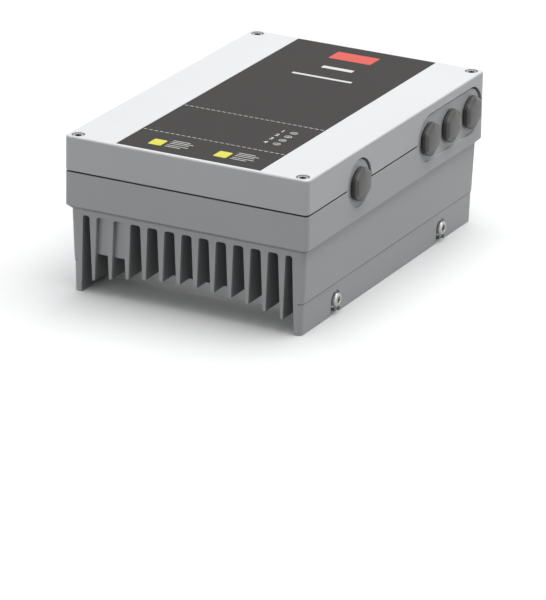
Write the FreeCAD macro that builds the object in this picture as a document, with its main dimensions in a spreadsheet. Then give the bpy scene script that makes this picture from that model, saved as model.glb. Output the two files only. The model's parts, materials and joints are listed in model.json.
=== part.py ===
import FreeCAD, Part
import math
import os
import re
import Sketcher
from FreeCAD import Placement, Rotation, Vector

# Motor-mounted variable frequency drive: a finned die-cast housing on an adapter plate,
# a screwed-down lid, four blanked cable entries and the electronics between them.
# Millimetres. X is the width (+X is the cable entry side), Y the length (-Y is the front
# end), +Z is up. The origin is the middle of the motor bolt pattern, on the underside.

SIZES = {
    # outer form of the housing and the lid
    "box_width": 190.0, "box_length": 277.0, "box_height": 115.0, "corner_round": 3.5,
    "foot_width": 178.6, "foot_length": 268.4, "neck_width": 183.6, "neck_length": 270.4,
    "sill_low": 22.9, "sill_high": 23.4, "sill_step": 0.5,
    "neck_top": 61.0, "band_low": 64.0, "rim_top": 88.6, "lid_low": 89.9,
    "casting_wall": 5.0, "lid_wall": 4.0, "lid_roof": 3.5, "lid_edge_round": 1.4,
    # cooling fins under the floor, cut to an arch over the motor
    "fin_pitch": 13.4545, "fin_count": 12, "first_fin": 74.0, "fin_root": 5.8, "fin_tip": 1.0,
    "gap_top": 57.5, "gap_round": 1.9, "skirt_gap_top": 82.0, "skirt_gap_low": 83.6,
    "arch_top": 20.0, "arch_radius": 279.0,
    "boss_front": 131.0, "boss_back": 116.0, "boss_low": 29.0,
    # recess under the fins for the adapter plate, and the duct for the motor leads
    "bay_length": 194.0, "bay_top": 28.0,
    "duct_width": 57.0, "duct_length": 77.0, "duct_wall": 7.5, "duct_low": 26.0,
    # cable entries
    "entry_height": 89.5, "entry_hole": 10.0, "front_entry": -60.5,
    "rear_entry_first": 48.8, "entry_pitch": 34.1, "rear_entry_count": 3,
    "tongue_radius": 16.9, "lid_cut_radius": 18.2, "pad_face": 93.7, "tongue_inner": 90.3,
    "plug_flats": 23.4, "plug_head": 4.7, "plug_corner": 5.0, "seal_thick": 1.3, "seal_outer": 11.6,
    "plug_shank": 9.93, "plug_shank_length": 9.0, "plug_thread_pitch": 1.5,
    # lid screws
    "lid_screw_x": 87.5, "lid_screw_y": 132.0, "lid_recess": 4.8, "lid_recess_floor": 109.0,
    "lid_screw_head": 4.25, "lid_screw_head_high": 4.6, "lid_screw_shank": 2.5,
    "lid_screw_tip": 78.5, "lid_thread_pitch": 0.8, "tapped_gap": 0.08, "washer_thick": 0.8,
    # side screws that hold the drive on its adapter
    "fix_screw_y": 83.0, "fix_screw_z": 10.5, "fix_seat": 87.4, "fix_recess": 6.8,
    "fix_slot": 3.3, "fix_washer": 6.2, "fix_washer_thick": 1.2, "fix_head": 5.2,
    "fix_head_high": 3.6, "fix_shank": 3.0, "fix_tip": 72.0, "fix_thread_pitch": 1.0,
    # adapter plate
    "plate_half_x": 83.0, "plate_half_y": 95.0, "plate_thick": 9.0, "flange_top": 18.0,
    "flange_inner": 70.0, "collar_top": 24.0, "motor_bolt_x": 98.0, "motor_bolt_y": 166.0,
    "motor_bolt_hole": 3.3,
    # boards, and the posts that carry them
    "power_board_low": 78.0, "board_thick": 1.6, "control_board_low": 94.0,
    "post_radius": 4.0, "post_hole": 1.6, "carrier_leg": 3.5, "carrier_leg_hole": 1.3,
    # motor connector: its block, flange and pins
    "connector_half_x": 24.0, "connector_half_y": 34.0, "contact_radius": 2.5, "contact_low": 19.0,
    "contact_high": 46.0,
    # parts on the power board
    "pad_thick": 0.4, "capacitor_x": -66.0, "capacitor_first": -14.0, "capacitor_pitch": 33.0,
    "capacitor_radius": 15.0, "capacitor_high": 26.0, "film_first": -72.0, "film_pitch": 14.0,
    "film_thick": 12.0, "film_high": 18.0, "choke_x": -66.0, "choke_y": -92.0,
    "core_bore": 7.0, "core_radius": 13.0, "core_high": 9.0, "winding_thick": 2.0,
    "relay_high": 25.0, "terminal_x": 46.0, "terminal_first": 54.0, "terminal_pitch": 11.0,
    "terminal_high": 17.0, "terminal_well": 3.2, "terminal_screw": 2.9,
    # parts on the control board
    "plug_screw_x": 57.0, "plug_first_way": -99.5, "plug_pitch": 5.0, "plug_screw": 1.4,
}

doc = FreeCAD.newDocument("frequency_drive")
sheet = doc.addObject("Spreadsheet::Sheet", "sizes")
for row, (alias, size) in enumerate(SIZES.items(), start=1):
    sheet.set(f"A{row}", alias)
    sheet.set(f"B{row}", str(size))
    sheet.setAlias(f"B{row}", alias)
doc.recompute()

nodes = {}


def formula(text):
    """The text of an expression, with each driving dimension written as a sheet cell."""
    return re.sub(r"[a-z][a-z_]+", lambda m: "sizes." + m[0] if m[0] in SIZES else m[0], str(text))


def number(text):
    """What a formula comes to now."""
    return float(sheet.evalExpression(str(text)))


def bind(item, field, text):
    item.setExpression(field, formula(text))


def put(item, x, y, z):
    for axis, text in zip("xyz", (x, y, z)):
        bind(item, f"Placement.Base.{axis}", text)


def new(home, kind, name):
    """A new object in the document or, for a PartDesign feature, in its body."""
    return home.newObject(kind, name) if hasattr(home, "newObject") else home.addObject(kind, name)


def body(label):
    item = doc.addObject("PartDesign::Body", label)
    nodes[label] = item
    return item


# Block and round features. A span is a (low, high) pair of formulas.
ADD, CUT, LOOSE = "PartDesign::Additive", "PartDesign::Subtractive", "Part::"


def box(home, kind, name, x_span, y_span, z_span):
    item = new(home, kind + "Box", name)
    for field, (low, high) in zip(("Length", "Width", "Height"), (x_span, y_span, z_span)):
        bind(item, field, f"({high}) - ({low})")
    put(item, x_span[0], y_span[0], z_span[0])
    return item


TURN = {"x": Rotation(Vector(0, 1, 0), 90), "-x": Rotation(Vector(0, 1, 0), -90), "z": Rotation()}


def rod(home, kind, name, radius, span, centre, axis="z"):
    """A cylinder along an axis; centre gives its place on the other two axes in X, Y, Z order."""
    item = new(home, kind + "Cylinder", name)
    bind(item, "Radius", radius)
    bind(item, "Height", f"({span[1]}) - ({span[0]})")
    item.Placement = Placement(Vector(), TURN[axis])
    spot = list(centre)
    spot.insert("xyz".index(axis), span[0])
    put(item, *spot)
    return item


def sketch(home, name, role, offset="0"):
    """An empty sketch on one of the body's own origin planes, shifted along its normal."""
    item = home.newObject("Sketcher::SketchObject", name)
    plane = next(feature for feature in home.Origin.OriginFeatures if feature.Role == role)
    item.AttachmentSupport = [(plane, "")]
    item.MapMode = "FlatFace"
    bind(item, "AttachmentOffset.Base.z", offset)
    return item


def fix_point(item, edge, end, x, y):
    """Hold one end of an edge at a place given by two formulas."""
    for kind, text, axis in (("DistanceX", x, -2), ("DistanceY", y, -1)):
        if text == "0":
            item.addConstraint(Sketcher.Constraint("PointOnObject", edge, end, axis))
        else:
            index = item.addConstraint(Sketcher.Constraint(kind, edge, end, number(text)))
            bind(item, f"Constraints[{index}]", text)


def polygon(item, points):
    """A closed outline through points, each a pair of formulas."""
    spots = [Vector(number(x), number(y), 0) for x, y in points]
    count = len(points)
    for i in range(count):
        item.addGeometry(Part.LineSegment(spots[i], spots[(i + 1) % count]), False)
    for i in range(count):
        item.addConstraint(Sketcher.Constraint("Coincident", i, 2, (i + 1) % count, 1))
        fix_point(item, i, 1, *points[i])


def rounded_rectangle(item, x_span, y_span, radius):
    """A rectangle with four equal quarter-circle corners."""
    low_x, high_x, low_y, high_y = (number(text) for text in (*x_span, *y_span))
    bend = number(radius)
    centres = ((high_x - bend, high_y - bend), (low_x + bend, high_y - bend),
               (low_x + bend, low_y + bend), (high_x - bend, low_y + bend))
    quarter = math.pi / 2
    arcs = []
    for turn, (x, y) in enumerate(centres):
        circle = Part.Circle(Vector(x, y, 0), Vector(0, 0, 1), bend)
        arcs.append(Part.ArcOfCircle(circle, turn * quarter, (turn + 1) * quarter))
    sides = [Part.LineSegment(arcs[i].EndPoint, arcs[(i + 1) % 4].StartPoint) for i in range(4)]
    item.addGeometry(arcs + sides, False)
    for i in range(4):
        item.addConstraint(Sketcher.Constraint("Tangent", i, 2, 4 + i, 1))
        item.addConstraint(Sketcher.Constraint("Tangent", 4 + i, 2, (i + 1) % 4, 1))
        item.addConstraint(Sketcher.Constraint("Vertical" if i % 2 else "Horizontal", 4 + i))
        if i:
            item.addConstraint(Sketcher.Constraint("Equal", 0, i))
    held = [(Sketcher.Constraint("Radius", 0, bend), radius)]
    held += [(Sketcher.Constraint("DistanceY", 4, 1, high_y), y_span[1]),
             (Sketcher.Constraint("DistanceX", 5, 1, low_x), x_span[0]),
             (Sketcher.Constraint("DistanceY", 6, 1, low_y), y_span[0]),
             (Sketcher.Constraint("DistanceX", 7, 1, high_x), x_span[1])]
    for constraint, text in held:
        bind(item, f"Constraints[{item.addConstraint(constraint)}]", text)


def pad(home, name, profile, length):
    item = home.newObject("PartDesign::Pad", name)
    item.Profile = profile
    bind(item, "Length", length)
    return item


def pocket(home, name, profile, length):
    """A pocket that runs against the sketch's normal."""
    item = home.newObject("PartDesign::Pocket", name)
    item.Profile = profile
    bind(item, "Length", length)
    return item


def through(home, name, profile):
    """A pocket right through the body, both ways from its sketch."""
    item = home.newObject("PartDesign::Pocket", name)
    item.Profile = profile
    item.SideType = "Symmetric"
    bind(item, "Length", "2 * box_length")
    return item


def rounded_block(home, name, x_span, y_span, z_span, radius):
    """A block with rounded upright corners, as a sketch and a pad."""
    outline = sketch(home, name + "_outline", "XY_Plane", z_span[0])
    rounded_rectangle(outline, x_span, y_span, radius)
    return pad(home, name, outline, f"({z_span[1]}) - ({z_span[0]})")


def soften(home, name, kind, amount, wanted):
    """A fillet or chamfer on the edges of the body's tip that a test picks out."""
    doc.recompute()
    tip = home.Tip
    picked = [f"Edge{i}" for i, edge in enumerate(tip.Shape.Edges, start=1) if wanted(edge)]
    item = home.newObject("PartDesign::" + kind, name)
    item.Base = (tip, picked)
    bind(item, "Radius" if kind == "Fillet" else "Size", amount)
    return item


def turned(label, outline, spot, axis="z"):
    """A part made on a lathe: (radius, height) points about the part's own axis."""
    item = body(label)
    profile = sketch(item, label + "_profile", "XZ_Plane")
    polygon(profile, outline)
    spin = item.newObject("PartDesign::Revolution", label + "_turned")
    spin.Profile = profile
    spin.ReferenceAxis = (profile, ["V_Axis"])
    spin.Angle = 360
    item.Placement = Placement(Vector(), TURN[axis])
    put(item, *spot)
    return item


def group(label, pieces):
    """Like pieces that share one node, each still its own solid."""
    item = doc.addObject("Part::Compound", label)
    item.Links = pieces
    nodes[label] = item
    for piece in pieces:
        nodes.pop(piece.Label, None)
    return item


def thread(radius, depth, start, pitch, count):
    """Ring grooves that stand for a thread: points down a shank from start, in formulas."""
    points = []
    for i in range(count):
        top = f"{start} - {i} * {pitch}"
        points += [(radius, top), (f"{radius} - {depth}", f"{top} - 0.5 * {pitch}")]
    return points + [(radius, f"{start} - {count} * {pitch}")]


def middle(half):
    """The span from minus to plus a half size."""
    return f"-({half})", f"{half}"


def around(centre, half):
    return f"({centre}) - ({half})", f"({centre}) + ({half})"


REAR_ENTRY_LAST = "rear_entry_first + (rear_entry_count - 1) * entry_pitch"


def entry_shape(home, kind, name, radius, x_span):
    """The round shape about the front entry and the long one about the rear row."""
    for part, y in (("front", "front_entry"), ("rear_low", "rear_entry_first"), ("rear_high", REAR_ENTRY_LAST)):
        rod(home, kind, f"{name}_{part}", radius, x_span, (y, "entry_height"), "x")
    box(home, kind, name + "_rear_middle", x_span, ("rear_entry_first", REAR_ENTRY_LAST),
        around("entry_height", radius))


# ---------------------------------------------------------------- heatsink housing
housing = body("heatsink_housing")
levels = (("0", "foot_width", "foot_length"),
          ("sill_low", "foot_width + 1.2", "foot_length + 0.6"),
          ("sill_high", "foot_width + 1.2 + 2 * sill_step", "foot_length + 0.8"),
          ("neck_top", "neck_width", "neck_length"),
          ("band_low", "box_width", "box_length"),
          ("rim_top", "box_width", "box_length"))
rings = []
for level, (height, width, length) in enumerate(levels):
    ring = sketch(housing, f"outside_{level}", "XY_Plane", height)
    rounded_rectangle(ring, middle(f"({width}) / 2"), middle(f"({length}) / 2"), "corner_round")
    rings.append(ring)
outside = housing.newObject("PartDesign::AdditiveLoft", "outside")
outside.Profile = rings[0]
outside.Sections = rings[1:]
outside.Ruled = True

tray = sketch(housing, "tray_outline", "XY_Plane", "rim_top")
rounded_rectangle(tray, middle("box_width / 2 - casting_wall"), middle("box_length / 2 - casting_wall"), "4")
pocket(housing, "tray", tray, "rim_top - band_low")

# posts in the tray: corner posts for the lid screws, low posts for the power board
BOARD_POSTS = (("-80", "-118"), ("-80", "0"), ("-80", "118"), ("46", "-118"), ("46", "0"), ("46", "118"))
for i, (sx, sy) in enumerate((x, y) for x in (-1, 1) for y in (-1, 1)):
    x_span = ("lid_screw_x - 5", "box_width / 2 - 2") if sx > 0 else ("2 - box_width / 2", "5 - lid_screw_x")
    y_span = ("lid_screw_y - 5", "box_length / 2 - 2") if sy > 0 else ("2 - box_length / 2", "5 - lid_screw_y")
    box(housing, ADD, f"corner_post_{i}", x_span, y_span, ("band_low", "rim_top"))
for i, (x, y) in enumerate(BOARD_POSTS):
    rod(housing, ADD, f"board_post_{i}", "post_radius", ("band_low - 1", "power_board_low"), (x, y))
    rod(housing, CUT, f"board_post_hole_{i}", "post_hole", ("band_low + 2", "power_board_low + 1"), (x, y))
for i, y in enumerate(("-16", "16")):
    rod(housing, ADD, f"earth_post_{i}", "5.5", ("band_low - 1", "band_low + 5"), ("76", y))
    rod(housing, CUT, f"earth_hole_{i}", "2.1", ("band_low", "band_low + 6"), ("76", y))

# cable entry wall: sunk pads, and tongues that rise above the rim
entry_shape(housing, CUT, "pad_recess", "tongue_radius + 0.1", ("pad_face", "box_width / 2 + 1"))
entry_shape(housing, ADD, "tongue", "tongue_radius", ("tongue_inner", "pad_face"))
ENTRIES = (("front", "front_entry"),) + tuple(
    (f"rear_{i + 1}", f"rear_entry_first + {i} * entry_pitch") for i in range(SIZES["rear_entry_count"]))
for name, y in ENTRIES:
    rod(housing, CUT, f"entry_hole_{name}", "entry_hole", ("box_width / 2 - 4 * casting_wall", "pad_face + 1"),
        (y, "entry_height"), "x")

# tapped holes for the lid screws
CORNERS = tuple((f"{end}_{side}", f"{sx}lid_screw_x", f"{sy}lid_screw_y")
                for end, sy in (("front", "-"), ("rear", "")) for side, sx in (("left", "-"), ("right", "")))
for name, x, y in CORNERS:
    rod(housing, CUT, f"tapped_{name}", "lid_screw_shank + tapped_gap",
        ("lid_screw_tip - 2", "rim_top + 1"), (x, y))

# open-ended slots for the side screws, each in a sunk seat that is open downwards
for side, sign in (("left", -1), ("right", 1)):
    for end, y in (("front", "-fix_screw_y"), ("rear", "fix_screw_y")):
        tag = f"{end}_{side}"
        outer = ("fix_seat", "box_width / 2") if sign > 0 else ("-box_width / 2", "-fix_seat")
        whole = ("skirt_gap_low - 1", "box_width / 2") if sign > 0 else ("-box_width / 2", "1 - skirt_gap_low")
        rod(housing, CUT, f"seat_{tag}", "fix_recess", outer, (y, "fix_screw_z"), "x")
        box(housing, CUT, f"seat_mouth_{tag}", outer, around(y, "fix_recess"), ("-1", "fix_screw_z"))
        rod(housing, CUT, f"slot_{tag}", "fix_slot", whole, (y, "fix_screw_z"), "x")
        box(housing, CUT, f"slot_mouth_{tag}", whole, around(y, "fix_slot"), ("-1", "fix_screw_z"))

# gaps between the fins: one is drawn and repeated, and the two end gaps are narrower
gap_low = "-2"
gap_centre = "-first_fin + fin_pitch / 2"
root_half = "(fin_pitch - fin_root) / 2"
tip_half = "(fin_pitch - fin_tip) / 2"
gap = sketch(housing, "gap_outline", "XZ_Plane")
polygon(gap, [(f"{gap_centre} - {tip_half}", gap_low), (f"{gap_centre} + {tip_half}", gap_low),
              (f"{gap_centre} + {root_half}", "gap_top"), (f"{gap_centre} - {root_half}", "gap_top")])
first_gap = through(housing, "gap", gap)
gaps = housing.newObject("PartDesign::LinearPattern", "gaps")
gaps.Originals = [first_gap]
gaps.Direction = (gap, ["H_Axis"])
bind(gaps, "Length", "(fin_count - 2) * fin_pitch")
bind(gaps, "Occurrences", "fin_count - 1")
housing.Tip = gaps
for side, sign in (("left", "-"), ("right", "")):
    end_gap = sketch(housing, f"end_gap_{side}", "XZ_Plane")
    polygon(end_gap, [(f"{sign}(first_fin + fin_tip / 2)", gap_low),
                      (f"{sign}skirt_gap_low", gap_low),
                      (f"{sign}skirt_gap_top", "gap_top"),
                      (f"{sign}(first_fin + fin_root / 2)", "gap_top")])
    through(housing, f"end_gap_cut_{side}", end_gap)


def gap_corner(edge):
    """The two long upper corners of each gap."""
    spans = [abs(edge.BoundBox.ZMin - number("gap_top")) < 0.01, edge.BoundBox.YLength > 200,
             edge.BoundBox.XLength < 0.01, edge.BoundBox.ZLength < 0.01]
    return all(spans)


soften(housing, "gap_rounds", "Fillet", "gap_round", gap_corner)

# the casting boss that closes two gaps near the front end
box(housing, ADD, "front_boss", ("-first_fin", "-first_fin + 2 * fin_pitch"),
    ("-boss_front", "-boss_back"), ("boss_low", "neck_top"))

# the arch over the motor, between the side skirts only
arch = sketch(housing, "arch_outline", "XZ_Plane")
reach = number("skirt_gap_low")
bend = number("arch_radius")
drop = bend - (bend ** 2 - reach ** 2) ** 0.5
crown = number("arch_top")
arch_left, arch_right = Vector(-reach, crown - drop, 0), Vector(reach, crown - drop, 0)
arch.addGeometry([
    Part.Arc(arch_right, Vector(0, crown, 0), arch_left),
    Part.LineSegment(arch_left, Vector(-reach, -2, 0)),
    Part.LineSegment(Vector(-reach, -2, 0), Vector(reach, -2, 0)),
    Part.LineSegment(Vector(reach, -2, 0), arch_right)], False)
for edge, following in ((0, 1), (1, 2), (2, 3)):
    arch.addConstraint(Sketcher.Constraint("Coincident", edge, 2, following, 1))
arch.addConstraint(Sketcher.Constraint("Coincident", 3, 2, 0, 1))
fix_point(arch, 2, 1, "-skirt_gap_low", gap_low)
fix_point(arch, 3, 1, "skirt_gap_low", gap_low)
arch.addConstraint(Sketcher.Constraint("Vertical", 1))
arch.addConstraint(Sketcher.Constraint("Vertical", 3))
fix_point(arch, 0, 3, "0", "arch_top - arch_radius")
arch_bend = arch.addConstraint(Sketcher.Constraint("Radius", 0, bend))
bind(arch, f"Constraints[{arch_bend}]", "arch_radius")
through(housing, "arch", arch)

# bay for the adapter plate, and the duct that the motor leads come up through
box(housing, CUT, "adapter_bay", middle("skirt_gap_low"), middle("bay_length / 2"), (gap_low, "bay_top"))
box(housing, ADD, "lead_duct", middle("duct_width / 2 + duct_wall"), middle("duct_length / 2 + duct_wall"),
    ("duct_low", "neck_top"))
box(housing, CUT, "lead_way", middle("duct_width / 2"), middle("duct_length / 2"), ("0", "band_low + 1"))


# ---------------------------------------------------------------- lid
lid = body("lid")
rounded_block(lid, "shell", middle("box_width / 2"), middle("box_length / 2"), ("lid_low", "box_height"),
              "corner_round")
soften(lid, "shell_edge", "Fillet", "lid_edge_round",
       lambda edge: abs(edge.BoundBox.ZMin - number("box_height")) < 0.01)
room = sketch(lid, "room_outline", "XY_Plane", "lid_low")
rounded_rectangle(room, middle("box_width / 2 - lid_wall"), middle("box_length / 2 - lid_wall"), "3")
hollow = pocket(lid, "room", room, "box_height - lid_roof - lid_low")
hollow.Reversed = True
for name, x, y in CORNERS:
    x_span = (f"{x} - 5.5", "box_width / 2 - 2") if "right" in name else ("2 - box_width / 2", f"{x} + 5.5")
    y_span = (f"{y} - 4", "box_length / 2 - 2") if "rear" in name else ("2 - box_length / 2", f"{y} + 4")
    box(lid, ADD, f"column_{name}", x_span, y_span, ("lid_low", "box_height - lid_roof"))
    rod(lid, CUT, f"screw_hole_{name}", "lid_screw_shank + 0.3", ("lid_low - 1", "box_height"), (x, y))
    rod(lid, CUT, f"screw_recess_{name}", "lid_recess", ("lid_recess_floor", "box_height + 1"), (x, y))
entry_shape(lid, CUT, "entry_cut", "lid_cut_radius", ("tongue_inner - 0.3", "box_width / 2 + 1"))

# sunk panel for the front label, and holes for the light guide
LABEL_X, LABEL_Y = ("-55.8", "56.8"), ("-135.5", "136.5")
LIGHT_X, LIGHT_FIRST, LIGHT_PITCH, LIGHT_COUNT = "40.6", "-80.8", "8.6", 4
LIGHTS = tuple((LIGHT_X, f"{LIGHT_FIRST} + {i} * {LIGHT_PITCH}") for i in range(LIGHT_COUNT))
panel = sketch(lid, "panel_outline", "XY_Plane", "box_height")
rounded_rectangle(panel, LABEL_X, LABEL_Y, "0.6")
pocket(lid, "panel", panel, "0.6")
for i, (x, y) in enumerate(LIGHTS):
    rod(lid, CUT, f"light_hole_{i}", "1.7", ("box_height - lid_roof - 1", "box_height + 1"), (x, y))

label = body("front_label")
rounded_block(label, "foil", (LABEL_X[0] + " + 0.15", LABEL_X[1] + " - 0.15"),
              (LABEL_Y[0] + " + 0.15", LABEL_Y[1] + " - 0.15"), ("box_height - 0.6", "box_height - 0.1"), "0.5")
for i, (x, y) in enumerate(LIGHTS):
    rod(label, CUT, f"window_{i}", "1.7", ("box_height - 1", "box_height + 1"), (x, y))

guide = body("light_guide")
box(guide, ADD, "strip", around(LIGHT_X, "2.6"),
    (f"{LIGHT_FIRST} - 4", f"{LIGHT_FIRST} + {LIGHT_COUNT - 1} * {LIGHT_PITCH} + 4"),
    ("box_height - lid_roof - 2", "box_height - lid_roof"))
for i, (x, y) in enumerate(LIGHTS):
    rod(guide, ADD, f"pipe_{i}", "1.6", ("control_board_low + 6", "box_height - 0.1"), (x, y))

# ---------------------------------------------------------------- lid gasket
gasket = body("lid_gasket")
outer_inset, inner_inset, gasket_face = "1.5", "3.8", "box_width / 2 - 1.5"
rounded_block(gasket, "bead", middle(f"box_width / 2 - {outer_inset}"), middle(f"box_length / 2 - {outer_inset}"),
              ("rim_top", "lid_low"), "4.5")
entry_shape(gasket, ADD, "arch", "lid_cut_radius - 0.35", ("tongue_inner + 0.8", gasket_face))
box(gasket, CUT, "under_arches", ("0", "box_width / 2"), middle("box_length / 2"), ("0", "rim_top"))
bore = sketch(gasket, "bore_outline", "XY_Plane", "lid_low")
rounded_rectangle(bore, middle(f"box_width / 2 - {inner_inset}"), middle(f"box_length / 2 - {inner_inset}"), "2.5")
pocket(gasket, "bore", bore, "lid_low - rim_top")
entry_shape(gasket, CUT, "tongue_room", "tongue_radius + 0.05", ("tongue_inner - 1", "box_width / 2"))

# ---------------------------------------------------------------- lid screws and their washers
for name, x, y in CORNERS:
    turned(f"lid_screw_washer_{name}",
           [("lid_screw_shank + 0.08", "0"), ("lid_screw_head", "0"), ("lid_screw_head", "washer_thick"),
            ("lid_screw_shank + 0.08", "washer_thick")], (x, y, "lid_recess_floor"))
    seat = "lid_recess_floor + washer_thick"
    tip = f"lid_screw_tip - ({seat})"
    shank = thread("lid_screw_shank", "0.35", "-18", "lid_thread_pitch", 13)
    screw = turned(f"lid_screw_{name}",
                   [("0", "lid_screw_head_high"), ("lid_screw_head - 0.5", "lid_screw_head_high"),
                    ("lid_screw_head", "lid_screw_head_high - 0.5"), ("lid_screw_head", "0"),
                    ("lid_screw_shank", "0")] + shank
                   + [("lid_screw_shank - 0.5", tip), ("0", tip)], (x, y, seat))
    drive = new(screw, CUT + "Prism", f"drive_{name}")
    drive.Polygon = 6
    bind(drive, "Circumradius", "2.3")
    bind(drive, "Height", "3")
    put(drive, "0", "0", "lid_screw_head_high - 2.6")

# ---------------------------------------------------------------- entry plugs and their seals
for name, y in ENTRIES:
    turned(f"entry_seal_{name}",
           [("plug_shank + 0.08", "0"), ("seal_outer", "0"), ("seal_outer", "seal_thick"),
            ("plug_shank + 0.08", "seal_thick")], ("pad_face", y, "entry_height"), "x")
    shank_end = "-seal_thick - plug_shank_length"
    shank = thread("plug_shank", "0.6", "-seal_thick - 0.6", "plug_thread_pitch", 5)
    plug = turned(f"entry_plug_{name}",
                  [("0", "0.5"), ("plug_flats / 2 - 1", "0.5"), ("plug_flats / 2 - 1", "0"), ("plug_shank", "0")]
                  + shank + [("plug_shank - 0.8", shank_end), ("7", shank_end), ("7", "-2"), ("0", "-2")],
                  ("pad_face + seal_thick", y, "entry_height"), "x")
    head = new(plug, ADD + "Prism", f"head_{name}")
    head.Polygon = 6
    bind(head, "Circumradius", "plug_flats / 2 / cos(30)")
    bind(head, "Height", "plug_head")
    soften(plug, f"head_corner_{name}", "Fillet", "plug_corner",
           lambda edge: edge.BoundBox.ZMin > -0.01 and edge.BoundBox.ZLength > number("plug_head") - 0.01)
    soften(plug, f"head_edge_{name}", "Chamfer", "1.1",
           lambda edge: edge.BoundBox.ZMin > number("plug_head") - 0.01)

# ---------------------------------------------------------------- adapter plate
adapter = body("adapter_plate")
rounded_block(adapter, "plate", middle("plate_half_x"), middle("plate_half_y"), ("0", "plate_thick"), "4")
for side, x_span in (("left", ("-plate_half_x", "-flange_inner")), ("right", ("flange_inner", "plate_half_x"))):
    rounded_block(adapter, f"flange_{side}", x_span, middle("plate_half_y"), ("0", "flange_top"), "4")
box(adapter, ADD, "collar", middle("duct_width / 2 + duct_wall"), middle("duct_length / 2 + duct_wall"),
    ("0", "collar_top"))
box(adapter, CUT, "lead_opening", middle("duct_width / 2 + 1"), middle("duct_length / 2 + 1"), ("-1", "18"))
box(adapter, CUT, "plug_opening", middle("24"), middle("34"), ("17", "collar_top + 1"))
for i, (x, y) in enumerate((sx, sy) for sx in ("-", "") for sy in ("-", "")):
    centre = (f"{x}motor_bolt_x / 2", f"{y}motor_bolt_y / 2")
    rod(adapter, CUT, f"motor_bolt_{i}", "motor_bolt_hole", ("-1", "plate_thick + 1"), centre)
for side, x_span in (("left", ("-plate_half_x - 1", "1 - fix_tip")),
                     ("right", ("fix_tip - 1", "plate_half_x + 1"))):
    for end, y in (("front", "-fix_screw_y"), ("rear", "fix_screw_y")):
        rod(adapter, CUT, f"side_thread_{end}_{side}", "fix_shank + tapped_gap", x_span,
            (y, "fix_screw_z"), "x")
groove = sketch(adapter, "groove_outline", "XY_Plane", "0")
GROOVE = (middle("duct_width / 2 + 7"), middle("duct_length / 2 + 7"))
rounded_rectangle(groove, *GROOVE, "5")
sunk = pocket(adapter, "groove", groove, "1.5")
sunk.Reversed = True

adapter_gasket = body("adapter_gasket")
rounded_block(adapter_gasket, "ring", *GROOVE, ("0", "1.5"), "5")
box(adapter_gasket, CUT, "ring_inside", middle("duct_width / 2 + 1"), middle("duct_length / 2 + 1"), ("-1", "3"))

for side, axis, sign in (("left", "-x", "-"), ("right", "x", "")):
    for end, y in (("front", "-fix_screw_y"), ("rear", "fix_screw_y")):
        tag = f"{end}_{side}"
        turned(f"fixing_washer_{tag}",
               [("fix_shank + 0.08", "0"), ("fix_washer", "0"), ("fix_washer", "fix_washer_thick"),
                ("fix_shank + 0.08", "fix_washer_thick")], (f"{sign}fix_seat", y, "fix_screw_z"), axis)
        length = "fix_seat + fix_washer_thick - fix_tip"
        shank = thread("fix_shank", "0.4", "-6", "fix_thread_pitch", 8)
        screw = turned(f"fixing_screw_{tag}",
                       [("0", "fix_head_high"), ("fix_head - 0.8", "fix_head_high"),
                        ("fix_head", "fix_head_high - 0.8"), ("fix_head", "0"), ("fix_shank", "0")] + shank
                       + [("fix_shank - 0.6", f"-({length})"), ("0", f"-({length})")],
                       (f"{sign}(fix_seat + fix_washer_thick)", y, "fix_screw_z"), axis)
        drive = new(screw, CUT + "Prism", f"drive_{tag}")
        drive.Polygon = 6
        bind(drive, "Circumradius", "2.6")
        bind(drive, "Height", "3")
        put(drive, "0", "0", "fix_head_high - 2.4")

# ---------------------------------------------------------------- motor connector in the duct
PIN_SPOTS = tuple((x, y) for x in ("-12", "0", "12") for y in ("-16", "16"))
motor_plug = body("motor_plug")
box(motor_plug, ADD, "plug_block", middle("connector_half_x - 0.2"), middle("connector_half_y - 0.2"),
    ("17", "33.5"))
box(motor_plug, ADD, "plug_flange", middle("connector_half_x + 2.5"), middle("connector_half_y + 2.5"),
    ("collar_top", "collar_top + 2"))
for i, spot in enumerate(PIN_SPOTS):
    rod(motor_plug, CUT, f"pin_hole_{i}", "contact_radius", ("16", "40"), spot)
group("motor_plug_pins",
      [rod(doc, LOOSE, f"motor_pin_{i}", "contact_radius", ("contact_low", "contact_high"), spot)
       for i, spot in enumerate(PIN_SPOTS)])

duct_seal = body("duct_seal")
box(duct_seal, ADD, "seal_ring", middle("duct_width / 2 + 6"), middle("duct_length / 2 + 6"),
    ("collar_top", "duct_low"))
box(duct_seal, CUT, "seal_inside", middle("duct_width / 2"), middle("duct_length / 2"), ("0", "box_height"))

motor_socket = body("motor_socket")
box(motor_socket, ADD, "socket_block", middle("connector_half_x"), middle("connector_half_y"),
    ("34.5", "band_low + 1"))
box(motor_socket, ADD, "socket_flange", middle("connector_half_x + 10"), middle("connector_half_y + 10"),
    ("band_low", "band_low + 4"))
for i, spot in enumerate(PIN_SPOTS):
    rod(motor_socket, CUT, f"contact_{i}", "contact_radius + 0.5", ("34", "contact_high + 8"), spot)
    rod(motor_socket, ADD, f"tail_{i}", "1.5", ("band_low + 3", "power_board_low"), spot)

# ---------------------------------------------------------------- power stage
PAD_X, PAD_Y = ("-52", "10"), ("54", "112")
thermal_pad = body("thermal_pad")
box(thermal_pad, ADD, "pad_sheet", PAD_X, PAD_Y, ("band_low", "band_low + pad_thick"))
power_module = body("power_module")
rounded_block(power_module, "module", (PAD_X[0] + " + 1", PAD_X[1] + " - 1"),
              (PAD_Y[0] + " + 1", PAD_Y[1] + " - 1"), ("band_low + pad_thick", "power_board_low"), "2")

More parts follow.
